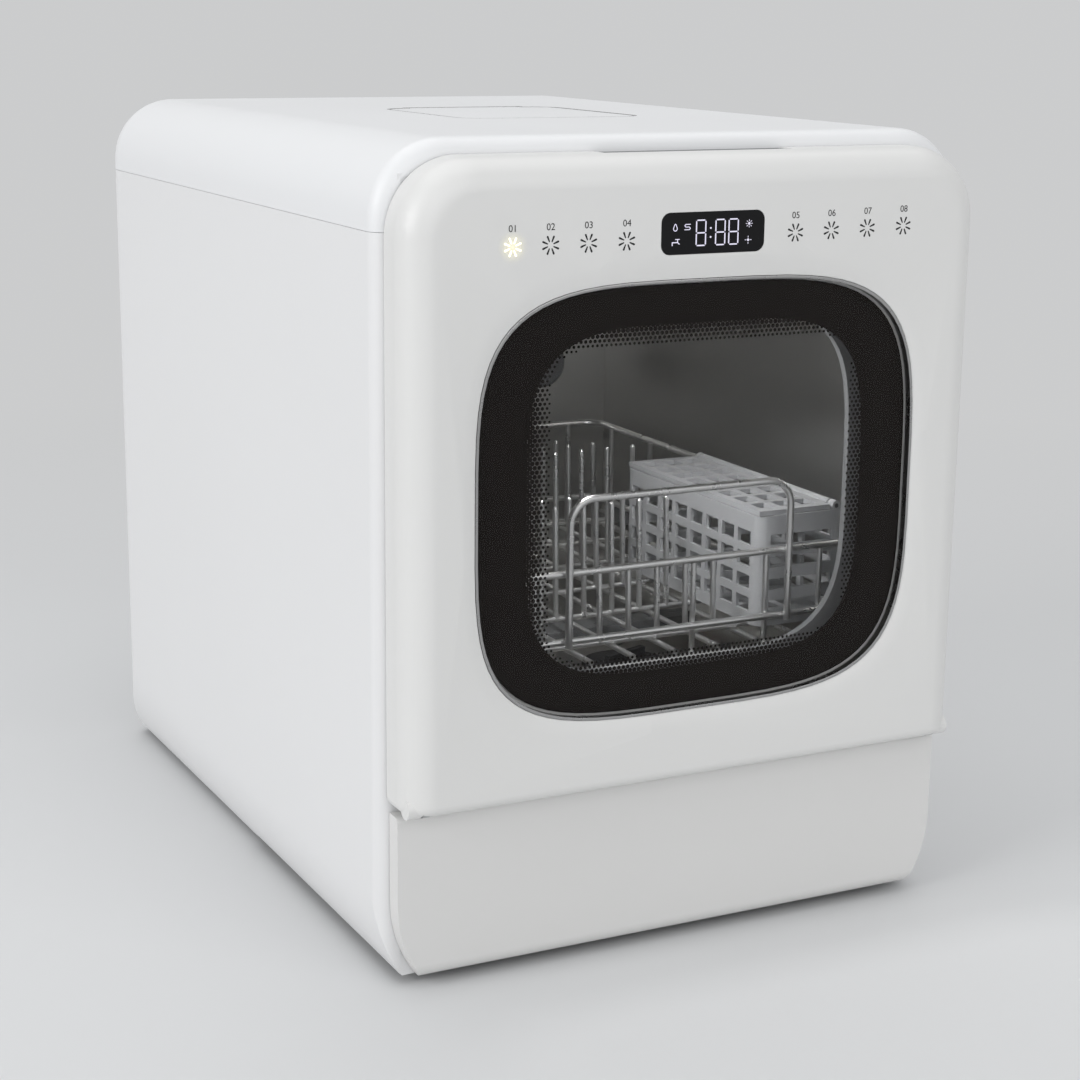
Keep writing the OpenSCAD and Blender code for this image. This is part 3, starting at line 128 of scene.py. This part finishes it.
def ranged(tree, value, low, high, start=0.3, end=0.7):
    """Maps value from start..end to low..high. Most of a noise lies between 0.3 and 0.7."""
    node = tree.nodes.new("ShaderNodeMapRange")
    for socket, number in (("From Min", start), ("From Max", end), ("To Min", low), ("To Max", high)):
        node.inputs[socket].default_value = number
    link(tree, value, node.inputs["Value"])
    return node.outputs["Result"]


def blend_colors(tree, fac, a, b):
    mix = tree.nodes.new("ShaderNodeMix")
    mix.data_type = "RGBA"
    mix.inputs["A"].default_value = (*a, 1)
    mix.inputs["B"].default_value = (*b, 1)
    link(tree, fac, mix.inputs["Factor"])
    return mix.outputs["Result"]


def scaled(color, share):
    return tuple(c * share for c in color)


def bumps(tree, height, strength, distance):
    node = tree.nodes.new("ShaderNodeBump")
    node.inputs["Strength"].default_value = strength
    node.inputs["Distance"].default_value = distance
    link(tree, height, node.inputs["Height"])
    return node.outputs["Normal"]


def plastic(name, color, rough, grain=0.0, grain_size=0.001, drift=0.02, **sockets):
    """Moulded plastic whose tone and roughness drift slowly, with a fine grain where one is given."""
    m, t, b = new_material(name)
    at = coords(t)
    spread = 0.03
    link(t, blend_colors(t, noise(t, at, 5, 1), scaled(color, 1 - drift), color), b.inputs["Base Color"])
    link(t, ranged(t, noise(t, at, 14, 2), rough - spread, rough + spread), b.inputs["Roughness"])
    if grain:
        fine = noise(t, at, 1 / grain_size, 2, 0.6)
        link(t, bumps(t, fine, grain, grain_size * 0.2), b.inputs["Normal"])
    for socket, value in sockets.items():
        b.inputs[socket.replace("_", " ")].default_value = value
    return m


def metal(name, color, rough, stretch=(1, 1, 1), scratch=0.0):
    """Metal with faint marks in its tone and gloss, drawn out along an axis whose stretch is small."""
    m, t, b = new_material(name)
    drift, spread, depth = 0.06, 0.06, 0.00002
    marks = noise(t, coords(t, stretch), 40, 6, 0.7)
    link(t, blend_colors(t, marks, scaled(color, 1 - drift), color), b.inputs["Base Color"])
    link(t, ranged(t, marks, rough - spread, rough + spread), b.inputs["Roughness"])
    if scratch:
        link(t, bumps(t, marks, scratch, depth), b.inputs["Normal"])
    b.inputs["Metallic"].default_value = 1
    return m


def glass(name, color, alpha):
    """A pane with a thin drift of dust in its gloss. It is see-through by alpha, so that light passes it."""
    m, t, b = new_material(name)
    at = coords(t)
    link(t, ranged(t, noise(t, at, 25, 3), 0.02, 0.05), b.inputs["Roughness"])
    link(t, blend_colors(t, noise(t, at, 4, 1), color, scaled(color, 1.1)), b.inputs["Base Color"])
    b.inputs["Alpha"].default_value = alpha
    b.inputs["Specular IOR Level"].default_value = 0.35
    return m


def glow(name, color, strength):
    """Lit print whose strength is a little uneven."""
    m, t, b = new_material(name)
    fade = ranged(t, noise(t, coords(t), 800, 1), 0.92 * strength, strength)
    b.inputs["Base Color"].default_value = (*scaled(color, 0.6), 1)
    b.inputs["Emission Color"].default_value = (*color, 1)
    link(t, fade, b.inputs["Emission Strength"])
    b.inputs["Roughness"].default_value = 0.4
    return m


SLOT_MATERIALS = {
    "casing": plastic("white_casing", (0.79, 0.79, 0.795), 0.38),
    "cover": plastic("white_cover", (0.81, 0.815, 0.825), 0.38),
    "door_skin": plastic("door_skin", (0.735, 0.733, 0.723), 0.34),
    "tray": plastic("black_tray", (0.045, 0.045, 0.05), 0.55, grain=0.3, grain_size=0.0008),
    "soft": plastic("black_rubber", (0.03, 0.03, 0.032), 0.75, grain=0.35, grain_size=0.0006),
    "gasket": plastic("grey_rubber", (0.17, 0.17, 0.175), 0.65, grain=0.2, grain_size=0.0006),
    "tub_steel": metal("tub_steel", (0.56, 0.555, 0.54), 0.42, stretch=(1, 0.05, 1)),
    "frame_steel": plastic("painted_steel", (0.42, 0.425, 0.43), 0.45, grain=0.15, grain_size=0.001),
    "pin_steel": metal("pin_steel", (0.62, 0.62, 0.63), 0.22, scratch=0.1),
    "trim": metal("bright_trim", (0.40, 0.40, 0.40), 0.28),
    "white_moulding": plastic("white_moulding", (0.70, 0.70, 0.68), 0.42, grain=0.12, grain_size=0.0008),
    "grey_moulding": plastic("grey_moulding", (0.24, 0.245, 0.25), 0.45, grain=0.2, grain_size=0.0008),
    "dark_moulding": plastic("dark_moulding", (0.04, 0.04, 0.043), 0.45, grain=0.25, grain_size=0.0009),
    "basket_moulding": plastic("basket_moulding", (0.62, 0.63, 0.645), 0.40),
    "tank": plastic("cloudy_tank", (0.62, 0.68, 0.72), 0.45, grain=0.2, grain_size=0.003, Alpha=0.8),
    "board": plastic("circuit_board", (0.015, 0.09, 0.04), 0.4, grain=0.3, grain_size=0.002, drift=0.3),
    "lamp": plastic("frosted_lens", (0.80, 0.79, 0.74), 0.5, grain=0.1, grain_size=0.001, Alpha=0.85),
    "tinted_glass": glass("tinted_glass", (0.012, 0.011, 0.010), 0.11),
    "clear_glass": glass("clear_glass", (0.05, 0.055, 0.055), 0.05),
    "border_print": plastic("black_border", (0.010, 0.0075, 0.0065), 0.45, drift=0.1, Specular_IOR_Level=0.1),
    "display": plastic("black_display", (0.008, 0.008, 0.009), 0.25, drift=0.1, Specular_IOR_Level=0.15),
    "rack_wire": metal("bright_wire", (0.93, 0.93, 0.93), 0.30),
}
RECESS_GREY = plastic("recess_grey", (0.38, 0.385, 0.395), 0.5)
# Materials of single nodes whose tone differs a little from their slot's
NODE_MATERIALS = {"kick_panel": plastic("kick_skin", (0.72, 0.715, 0.705), 0.36), "handle_liner": RECESS_GREY}
INK = plastic("grey_ink", (0.018, 0.018, 0.019), 0.6, drift=0.1, Specular_IOR_Level=0.2)
WARM = (1.0, 0.95, 0.72)
LIGHT_INK = glow("warm_key_light", WARM, 1.6)
DIGIT_LIGHT = glow("display_digits", (0.62, 0.60, 0.72), 0.85)


# ---- CAD nodes ----

SMOOTH_ANGLE = math.radians(32)     # faces that meet at less are shaded as one curve
EASE_ANGLE = math.radians(40)       # edges where faces meet at more are eased
WELD_GAP = 0.000002                 # points closer than this are joined
# Widths of the eased edges of the nodes whose edges catch light
EASED = {"left_panel": 0.0006, "right_panel": 0.0006, "kick_panel": 0.0008, "display_window": 0.0004,
         "glass_trim": 0.0003, "hatch_rim": 0.0003, "hatch_lid": 0.0004, "top_cover": 0.0005}


def smooth_group():
    """Geometry nodes that drop the stored normals and shade smooth across edges below SMOOTH_ANGLE."""
    group = bpy.data.node_groups.new("shade_smooth_by_angle", "GeometryNodeTree")
    group.interface.new_socket("Geometry", in_out="INPUT", socket_type="NodeSocketGeometry")
    group.interface.new_socket("Geometry", in_out="OUTPUT", socket_type="NodeSocketGeometry")
    start, end = group.nodes.new("NodeGroupInput"), group.nodes.new("NodeGroupOutput")
    fresh = group.nodes.new("GeometryNodeRemoveAttribute")
    fresh.inputs["Name"].default_value = "custom_normal"
    faces = group.nodes.new("GeometryNodeSetShadeSmooth")
    edges = group.nodes.new("GeometryNodeSetShadeSmooth")
    edges.domain = "EDGE"
    bend = group.nodes.new("GeometryNodeInputMeshEdgeAngle")
    shallow = math_node(group, "LESS_THAN", bend.outputs["Unsigned Angle"], SMOOTH_ANGLE)
    link(group, start.outputs[0], fresh.inputs["Geometry"])
    link(group, fresh.outputs[0], faces.inputs["Geometry"])
    link(group, faces.outputs[0], edges.inputs["Geometry"])
    link(group, shallow, edges.inputs["Shade Smooth"])
    link(group, edges.outputs[0], end.inputs[0])
    return group


def dress_nodes():
    """Gives each CAD node its material, eased edges where they show, and smooth shading."""
    group = smooth_group()
    for part in frame["record"]["subparts"]:
        name = part["node"]
        ob = frame["nodes"][name]
        ob.data.materials.clear()
        ob.data.materials.append(NODE_MATERIALS.get(name, SLOT_MATERIALS[part["material_slot"]]))
        ob.modifiers.new("weld", "WELD").merge_threshold = WELD_GAP
        if name in EASED:
            ease = ob.modifiers.new("ease", "BEVEL")
            ease.width = EASED[name]
            ease.segments = 2
            ease.limit_method = "ANGLE"
            ease.angle_limit = EASE_ANGLE
        ob.modifiers.new("smooth", "NODES").node_group = group
        ob.modifiers.new("normals", "WEIGHTED_NORMAL").keep_sharp = True


# ---- Mesh helpers ----

def mesh_piece(name, verts, faces, body, slot, material=None, place=(0, 0, 0)):
    """A piece at place that rides on body, with its slot's material unless another is given."""
    me = bpy.data.meshes.new(name)
    me.from_pydata(verts, [], faces)
    me.materials.append(material or SLOT_MATERIALS[slot])
    ob = bpy.data.objects.new(name, me)
    ob.location = place
    scene.collection.objects.link(ob)
    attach(ob, body)
    return ob


def arc(x, z, r, start, turn, n):
    """n + 1 points on a circle of radius r about (x, z), from the angle start over turn."""
    angles = [start + turn * i / n for i in range(n + 1)]
    return [(x + r * math.cos(t), z + r * math.sin(t)) for t in angles]


def ring(x, z, r, n):
    """n points evenly round (x, z)."""
    return arc(x, z, r, 0, 2 * math.pi, n)[:-1]


class Prints:
    """Flat shapes on a plane that faces -Y, gathered into one piece with a little thickness."""

    THICK = 0.00006

    def __init__(self, y):
        self.y = y
        self.verts, self.faces = [], []

    def polygon(self, points):
        """Adds a convex outline, points as (x, z) in order."""
        area = sum(a[0] * b[1] - b[0] * a[1] for a, b in zip(points, points[1:] + points[:1]))
        if area < 0:
            points = points[::-1]
        n, base = len(points), len(self.verts)
        self.verts += [(x, self.y - self.THICK, z) for x, z in points]
        self.verts += [(x, self.y, z) for x, z in points]
        self.faces.append([base + i for i in range(n)])
        for i in range(n):
            j = (i + 1) % n
            self.faces.append([base + j, base + i, base + n + i, base + n + j])

    def disc(self, x, z, r, n=8):
        self.polygon(ring(x, z, r, n))

    def bar(self, a, b, w0, w1, n=4):
        """A bar from a to b that widens from w0 to w1, with round ends of n steps each."""
        turn = math.atan2(b[1] - a[1], b[0] - a[0])
        self.polygon(arc(*a, w0 / 2, turn + math.pi / 2, math.pi, n)
                     + arc(*b, w1 / 2, turn - math.pi / 2, math.pi, n))

    def path(self, points, w):
        for a, b in zip(points, points[1:]):
            self.bar(a, b, w, w)

    def rays(self, x, z, radii, widths, angles, n):
        """Bars that point away from (x, z), with the radii and widths of their two ends."""
        for t in angles:
            a, b = [(x + r * math.cos(t), z + r * math.sin(t)) for r in radii]
            self.bar(a, b, *widths, n)

    def make(self, name, body, slot, material=None):
        return mesh_piece(name, self.verts, self.faces, body, slot, material)


# ---- Window ----

DOT_PITCH = 0.0026                  # from dot to dot
DOT_HALF = (0.0995, 0.0905)         # half width and half height of the band
DOT_SPARE = (0.002, 0.001)          # how far past the band's sides the rounded outer limit of the dots lies
DOT_POWER = 5                       # power of the curve of that limit, which is squarer when it is higher
DOT_DEPTH = 0.0112                  # width of the band
DOT_CORNER = 0.018                  # rounding of the clear middle
DOT_OVERLAP = 0.0004                # how far dots reach into the clear middle
DOT_SMALL, DOT_GAIN = 0.24, 0.32    # radius at the clear middle and its gain outwards, in pitches
DOT_SHIFT = 0.002                   # how far the band's middle lies to the right of the glass's
DOT_DEEP = 0.00012                  # how far behind the outer glass the dots lie


def inside_rounded(x, z, a, b, r):
    """How far (x, z) lies inside a rectangle of half sides a and b and corner radius r, negative outside."""
    dx, dz = abs(x) - (a - r), abs(z) - (b - r)
    return r - math.hypot(max(dx, 0), max(dz, 0)) - min(max(dx, dz), 0)


def dot_band():
    """Black dots printed behind the outer glass, that shrink from the border towards the clear middle."""
    lo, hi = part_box("outer_glass")
    cx, cz = (lo.x + hi.x) / 2 + DOT_SHIFT, (lo.z + hi.z) / 2
    half_w, half_h = DOT_HALF
    limit_w, limit_h = half_w + DOT_SPARE[0], half_h + DOT_SPARE[1]
    band = Prints(hi.y + DOT_DEEP)
    step = DOT_PITCH * math.sqrt(3) / 2
    rows, cols = int(half_h / step) + 1, int(half_w / DOT_PITCH) + 1
    for j in range(-rows, rows + 1):
        for i in range(-cols, cols + 1):
            x, z = (i + (j % 2) / 2) * DOT_PITCH, j * step
            out = -inside_rounded(x, z, half_w - DOT_DEPTH, half_h - DOT_DEPTH, DOT_CORNER)
            edge = (abs(x) / limit_w) ** DOT_POWER + (abs(z) / limit_h) ** DOT_POWER
            if out > -DOT_OVERLAP and edge < 1:
                share = min(out / DOT_DEPTH, 1)
                band.disc(cx + x, cz + z, DOT_PITCH * (DOT_SMALL + DOT_GAIN * share), 10)
    band.make("window_dots", "door", "border_print")


# ---- Fillers in gaps of the cabinet and the door ----

OPENING = (0.156, 0.412)            # half width and upper edge of the opening in the cover's front
OPENING_R = 0.0225                  # rounding of its corners
LAP = 0.0015                        # how far a corner filler reaches into the wall beside it
# Outline of the filler at the kick's lower right corner
KICK_CORNER = [(0.140, 0.006), (0.1569, 0.0055), (0.1582, 0.0076), (0.1582, 0.030), (0.140, 0.030)]
# How far the front and the back of a filler lie behind the cover's front
COVER_DEPTHS, KICK_DEPTHS = (0.0003, 0.0022), (0.0002, 0.0016)
POCKET_WALL = 0.0016                # wall of the finger recess
POCKET_BACK = 0.0003                # thickness of its back


def plate(name, outline, y0, y1, body, slot, material=None):
    """A flat piece between y0 and y1 with the outline given as (x, z) in order."""
    n = len(outline)
    verts = [(x, y0, z) for x, z in outline] + [(x, y1, z) for x, z in outline]
    faces = [list(range(n)), list(range(2 * n - 1, n - 1, -1))]
    faces += [[i, n + i, n + (i + 1) % n, (i + 1) % n] for i in range(n)]
    ob = mesh_piece(name, verts, faces, body, slot, material)
    bm = bmesh.new()
    bm.from_mesh(ob.data)
    bmesh.ops.recalc_face_normals(bm, faces=bm.faces)
    bm.to_mesh(ob.data)
    bm.free()


def fillers():
    """Rounds the opening in the cover, and closes the kick's lower corners and the back of the recess."""
    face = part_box("top_cover")[0].y
    x, z = OPENING
    curve = arc(x - OPENING_R, z - OPENING_R, OPENING_R, 0, math.pi / 2, 15)
    cover_corner = [(x + LAP, z - OPENING_R)] + curve + [(x - OPENING_R, z + LAP), (x + LAP, z + LAP)]
    for side, sign in (("left", -1), ("right", 1)):
        for name, outline, depths, slot in (("cover_corner_", cover_corner, COVER_DEPTHS, "cover"),
                                            ("kick_corner_", KICK_CORNER, KICK_DEPTHS, "casing")):
            plate(name + side, [(sign * x, z) for x, z in outline], face + depths[0], face + depths[1],
                  "cabinet", slot)
    low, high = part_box("handle_liner")
    x0, x1 = low.x + POCKET_WALL, high.x - POCKET_WALL
    pocket = [(x0, low.z), (x1, low.z), (x1, high.z), (x0, high.z)]
    plate("recess_back", pocket, high.y - POCKET_BACK, high.y, "door", "grey_moulding", RECESS_GREY)


# ---- Keys ----

LIFT = 0.00001                      # step in depth between marks that lie one over the other
# Middles of the touch marks as (x, z), the lit one first
KEYS = [(-0.1103, 0.3798), (-0.0902, 0.3800), (-0.0697, 0.3802), (-0.0488, 0.3804),
        (0.0481, 0.3812), (0.0697, 0.3816), (0.0917, 0.3820), (0.1141, 0.3824)]
PETALS, PETAL_R, PETAL_HOLE = 8, 0.0044, 0.42   # count, outer radius, and inner radius as a share of it
PETAL_WIDTHS = (0.0006, 0.001)
HALO_R = 0.0085                     # radius of the light round the lit mark
NUMBER_RISE, NUMBER_SIZE, NUMBER_THICK = 0.0086, 0.0047, 0.00003


def petal_mark(prints, x, z):
    angles = [2 * math.pi * (i + 0.5) / PETALS for i in range(PETALS)]
    prints.rays(x, z, (PETAL_R * PETAL_HOLE, PETAL_R), PETAL_WIDTHS, angles, 3)


def number(text, x, z, y, name):
    """A number on the door, set as text and then turned into a mesh."""
    data = bpy.data.curves.new(name, "FONT")
    data.body = text
    data.size = NUMBER_SIZE
    data.align_x, data.align_y = "CENTER", "CENTER"
    data.extrude = NUMBER_THICK
    draft = bpy.data.objects.new(name, data)
    scene.collection.objects.link(draft)
    draft.matrix_world = Matrix.Translation((x, y - NUMBER_THICK, z)) @ Matrix.Rotation(math.pi / 2, 4, "X")
    bpy.context.view_layer.update()
    me = bpy.data.meshes.new_from_object(draft.evaluated_get(bpy.context.evaluated_depsgraph_get()))
    ob = bpy.data.objects.new(name, me)
    ob.matrix_world = draft.matrix_world
    bpy.data.objects.remove(draft)
    scene.collection.objects.link(ob)
    me.materials.clear()
    me.materials.append(INK)
    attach(ob, "door")


def halo_material():
    """Light that fades out from the middle of the piece."""
    m, t, b = new_material("key_halo")
    ball = t.nodes.new("ShaderNodeTexGradient")
    ball.gradient_type = "SPHERICAL"
    link(t, coords(t, (1 / HALO_R,) * 3), ball.inputs["Vector"])
    fade = math_node(t, "POWER", ball.outputs["Fac"], 1.6)
    link(t, ranged(t, fade, 0, 0.85, 0, 1), b.inputs["Alpha"])
    b.inputs["Base Color"].default_value = (0.75, 0.72, 0.55, 1)
    b.inputs["Emission Color"].default_value = (*WARM, 1)
    b.inputs["Emission Strength"].default_value = 0.45
    return m


def halo(x, y, z):
    """Soft light on the door's skin round the lit key."""
    n = 40
    verts = [(0, 0, 0)] + [(u, 0, v) for u, v in ring(0, 0, HALO_R, n)]
    faces = [[0, 1 + i, 1 + (i + 1) % n] for i in range(n)]
    mesh_piece("key_halo", verts, faces, "door", "lamp", halo_material(), (x, y, z))


def keys():
    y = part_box("door_shell")[0].y
    dark = Prints(y)
    for x, z in KEYS[1:]:
        petal_mark(dark, x, z)
    dark.make("key_marks", "door", "border_print", INK)
    lit = Prints(y - 2 * LIFT)
    petal_mark(lit, *KEYS[0])
    lit.make("lit_key_mark", "door", "lamp", LIGHT_INK)
    for i, (x, z) in enumerate(KEYS, 1):
        number("%02d" % i, x, z + NUMBER_RISE, y, "key_number_%d" % i)
    halo(KEYS[0][0], y - LIFT, KEYS[0][1])


# ---- Display ----

DIGIT_W, DIGIT_H = 0.0053, 0.0062   # width of a digit and half its height
DIGIT_BAR, DIGIT_GAP = 0.00065, 0.0006
DIGITS = (-0.0098, 0.0013, 0.0089)  # left edges of the digits
COLON_X, COLON_RISE, COLON_R = -0.0016, 0.0022, 0.0005
# The seven segments of a digit, in its widths and half heights
SEGMENTS = [((0, 2), (1, 2)), ((1, 2), (1, 1)), ((1, 1), (1, 0)), ((0, 0), (1, 0)),
            ((0, 1), (0, 0)), ((0, 2), (0, 1)), ((0, 1), (1, 1))]
LINE, THICK_LINE = 0.0004, 0.0005   # widths of the lines of the small signs
# Middles of the small signs
DROP, WAVE, TAP = (-0.0218, 0.3856), (-0.0149, 0.3861), (-0.0216, 0.3787)
SUN, STAR = (0.0206, 0.3867), (0.0202, 0.3786)
DROP_W, DROP_H = 0.0011, 0.0013     # half width and half height of the ellipse that the drop comes from
DROP_NECK, DROP_RISE = 0.7, 1.6     # how much narrower and higher the drop's upper half is
WAVE_LINE = [(-0.0016, -0.0013), (0.001, -0.0013), (0.0016, -0.0007), (0.001, 0),
             (-0.001, 0), (-0.0016, 0.0007), (-0.001, 0.0013), (0.0016, 0.0013)]
TAP_LINES = [([(-0.0018, -0.0014), (-0.0018, 0), (0.0012, 0), (0.0012, 0.0015)], THICK_LINE),
             ([(0, 0.0015), (0.0022, 0.0015)], LINE),
             ([(0.0012, 0), (0.0022, -0.0008)], THICK_LINE)]
CORE_R, RAY_RADII, RAY_WIDTHS = 0.0007, (0.0012, 0.0019), (0.0003, 0.0003)


def moved(points, place):
    return [(place[0] + x, place[1] + z) for x, z in points]


def digit(prints, x, z):
    """A digit with all segments lit and its lower left corner at (x, z)."""
    for (ax, az), (bx, bz) in SEGMENTS:
        dx, dz = bx - ax, bz - az
        gap = DIGIT_GAP / math.hypot(dx * DIGIT_W, dz * DIGIT_H)
        a = (x + (ax + dx * gap) * DIGIT_W, z + (az + dz * gap) * DIGIT_H)
        b = (x + (bx - dx * gap) * DIGIT_W, z + (bz - dz * gap) * DIGIT_H)
        prints.bar(a, b, DIGIT_BAR, DIGIT_BAR, 2)


def drop_outline(n=12):
    """A drop: an ellipse whose upper half is narrow and drawn out."""
    points = []
    for i in range(n):
        t = 2 * math.pi * i / n
        x, z = DROP_W * math.cos(t), DROP_H * math.sin(t)
        points.append((x * DROP_NECK, z * DROP_RISE) if 0 < i < n / 2 else (x, z))
    return points + points[:1]


def display():
    """Lit digits and small generic signs on the display."""
    lo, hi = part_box("display_window")
    middle = (lo.z + hi.z) / 2
    prints = Prints(lo.y - LIFT)
    for x in DIGITS:
        digit(prints, x, middle - DIGIT_H)
    for z in (middle - COLON_RISE, middle + COLON_RISE):
        prints.disc(COLON_X, z, COLON_R)
    prints.path(moved(drop_outline(), DROP), LINE)
    prints.path(moved(WAVE_LINE, WAVE), LINE)
    for points, width in TAP_LINES:
        prints.path(moved(points, TAP), width)
    for (x, z), rays in ((SUN, 8), (STAR, 4)):
        prints.disc(x, z, CORE_R)
        prints.rays(x, z, RAY_RADII, RAY_WIDTHS, [2 * math.pi * i / rays for i in range(rays)], 2)
    prints.make("display_marks", "door", "display", DIGIT_LIGHT)


# ---- Studio ----

BACKDROP = (0.60, 0.605, 0.61)
FLOOR_R = 9.0
FADE = (0.45, 1.5)                  # distances between which the floor turns into the backdrop
# Name, place, aim, size and watts of each lamp
LAMPS = [("key_left", (-3.6, -0.8, 1.6), (0, 0, 0.2), (2.2, 2.2), 60),
         ("top", (0.1, 0.2, 2.6), (0, 0, 0.3), (2.8, 2.8), 23),
         ("front", (0.3, -3.1, 1.5), (0, 0, 0.2), (3.2, 2.2), 27)]


def seen_directly(tree):
    """1 for the rays that show the backdrop: camera, mirror and glass rays."""
    path = tree.nodes.new("ShaderNodeLightPath")
    total = path.outputs["Is Camera Ray"]
    for ray in ("Is Glossy Ray", "Is Transmission Ray"):
        total = math_node(tree, "MAXIMUM", total, path.outputs[ray])
    return total


def mix_shaders(tree, fac, a, b, out):
    """Sends the shader a to out where fac is 0, and b where it is 1."""
    mix = tree.nodes.new("ShaderNodeMixShader")
    link(tree, fac, mix.inputs["Fac"])
    link(tree, a, mix.inputs[1])
    link(tree, b, mix.inputs[2])
    link(tree, mix.outputs["Shader"], out)


def floor_material():
    """Pale floor that keeps the object's shadow near it and fades into the backdrop further out."""
    m, t, b = new_material("floor")
    at = coords(t)
    tone = blend_colors(t, noise(t, at, 0.6, 2), (0.70, 0.705, 0.71), (0.71, 0.715, 0.72))
    link(t, tone, b.inputs["Base Color"])
    b.inputs["Roughness"].default_value = 0.8
    b.inputs["Specular IOR Level"].default_value = 0.1
    far = t.nodes.new("ShaderNodeVectorMath")
    far.operation = "LENGTH"
    link(t, at, far.inputs[0])
    fade = math_node(t, "MULTIPLY", ranged(t, far.outputs["Value"], 0, 1, *FADE), seen_directly(t))
    plain = t.nodes.new("ShaderNodeEmission")
    plain.inputs["Color"].default_value = (*BACKDROP, 1)
    out = t.nodes["Material Output"].inputs["Surface"]
    mix_shaders(t, fade, b.outputs["BSDF"], plain.outputs["Emission"], out)
    return m


def floor():
    me = bpy.data.meshes.new("floor")
    verts = [(x, y, 0) for x, y in ring(0, 0, FLOOR_R, 64)]
    me.from_pydata(verts, [], [list(range(len(verts)))])
    me.materials.append(floor_material())
    ob = bpy.data.objects.new("floor", me)
    scene.collection.objects.link(ob)


def world():
    """Even light from all round, which shows as the plain backdrop."""
    studio_world = bpy.data.worlds.new("studio")
    scene.world = studio_world
    studio_world.use_nodes = True
    t = studio_world.node_tree
    light = t.nodes["Background"]
    light.inputs["Color"].default_value = (0.97, 0.985, 1.0, 1)
    light.inputs["Strength"].default_value = 0.50
    seen = t.nodes.new("ShaderNodeBackground")
    seen.inputs["Color"].default_value = (*BACKDROP, 1)
    out = t.nodes["World Output"].inputs["Surface"]
    mix_shaders(t, seen_directly(t), light.outputs["Background"], seen.outputs["Background"], out)


def lamp(name, place, aim, size, power):
    """A rectangular lamp at place, turned towards aim."""
    data = bpy.data.lights.new(name, "AREA")
    data.shape = "RECTANGLE"
    data.size, data.size_y = size
    data.energy = power
    ob = bpy.data.objects.new(name, data)
    scene.collection.objects.link(ob)
    turn = (Vector(aim) - Vector(place)).to_track_quat("-Z", "Y").to_matrix().to_4x4()
    ob.matrix_world = Matrix.Translation(place) @ turn


def interior_light():
    """The machine's own light: a lamp just under its lens that shines down into the tub, to the right."""
    lo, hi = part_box("interior_lamp")
    middle = (lo + hi) / 2
    place = (middle.x - 0.05, middle.y - 0.01, lo.z - 0.004)
    lamp("interior", place, middle + Vector((0.13, 0.01, -0.17)), (0.06, 0.02), 0.38)


scene.view_settings.view_transform = "Standard"
make_camera()
dress_nodes()
dot_band()
fillers()
keys()
display()
floor()
world()
for values in LAMPS:
    lamp(*values)
interior_light()
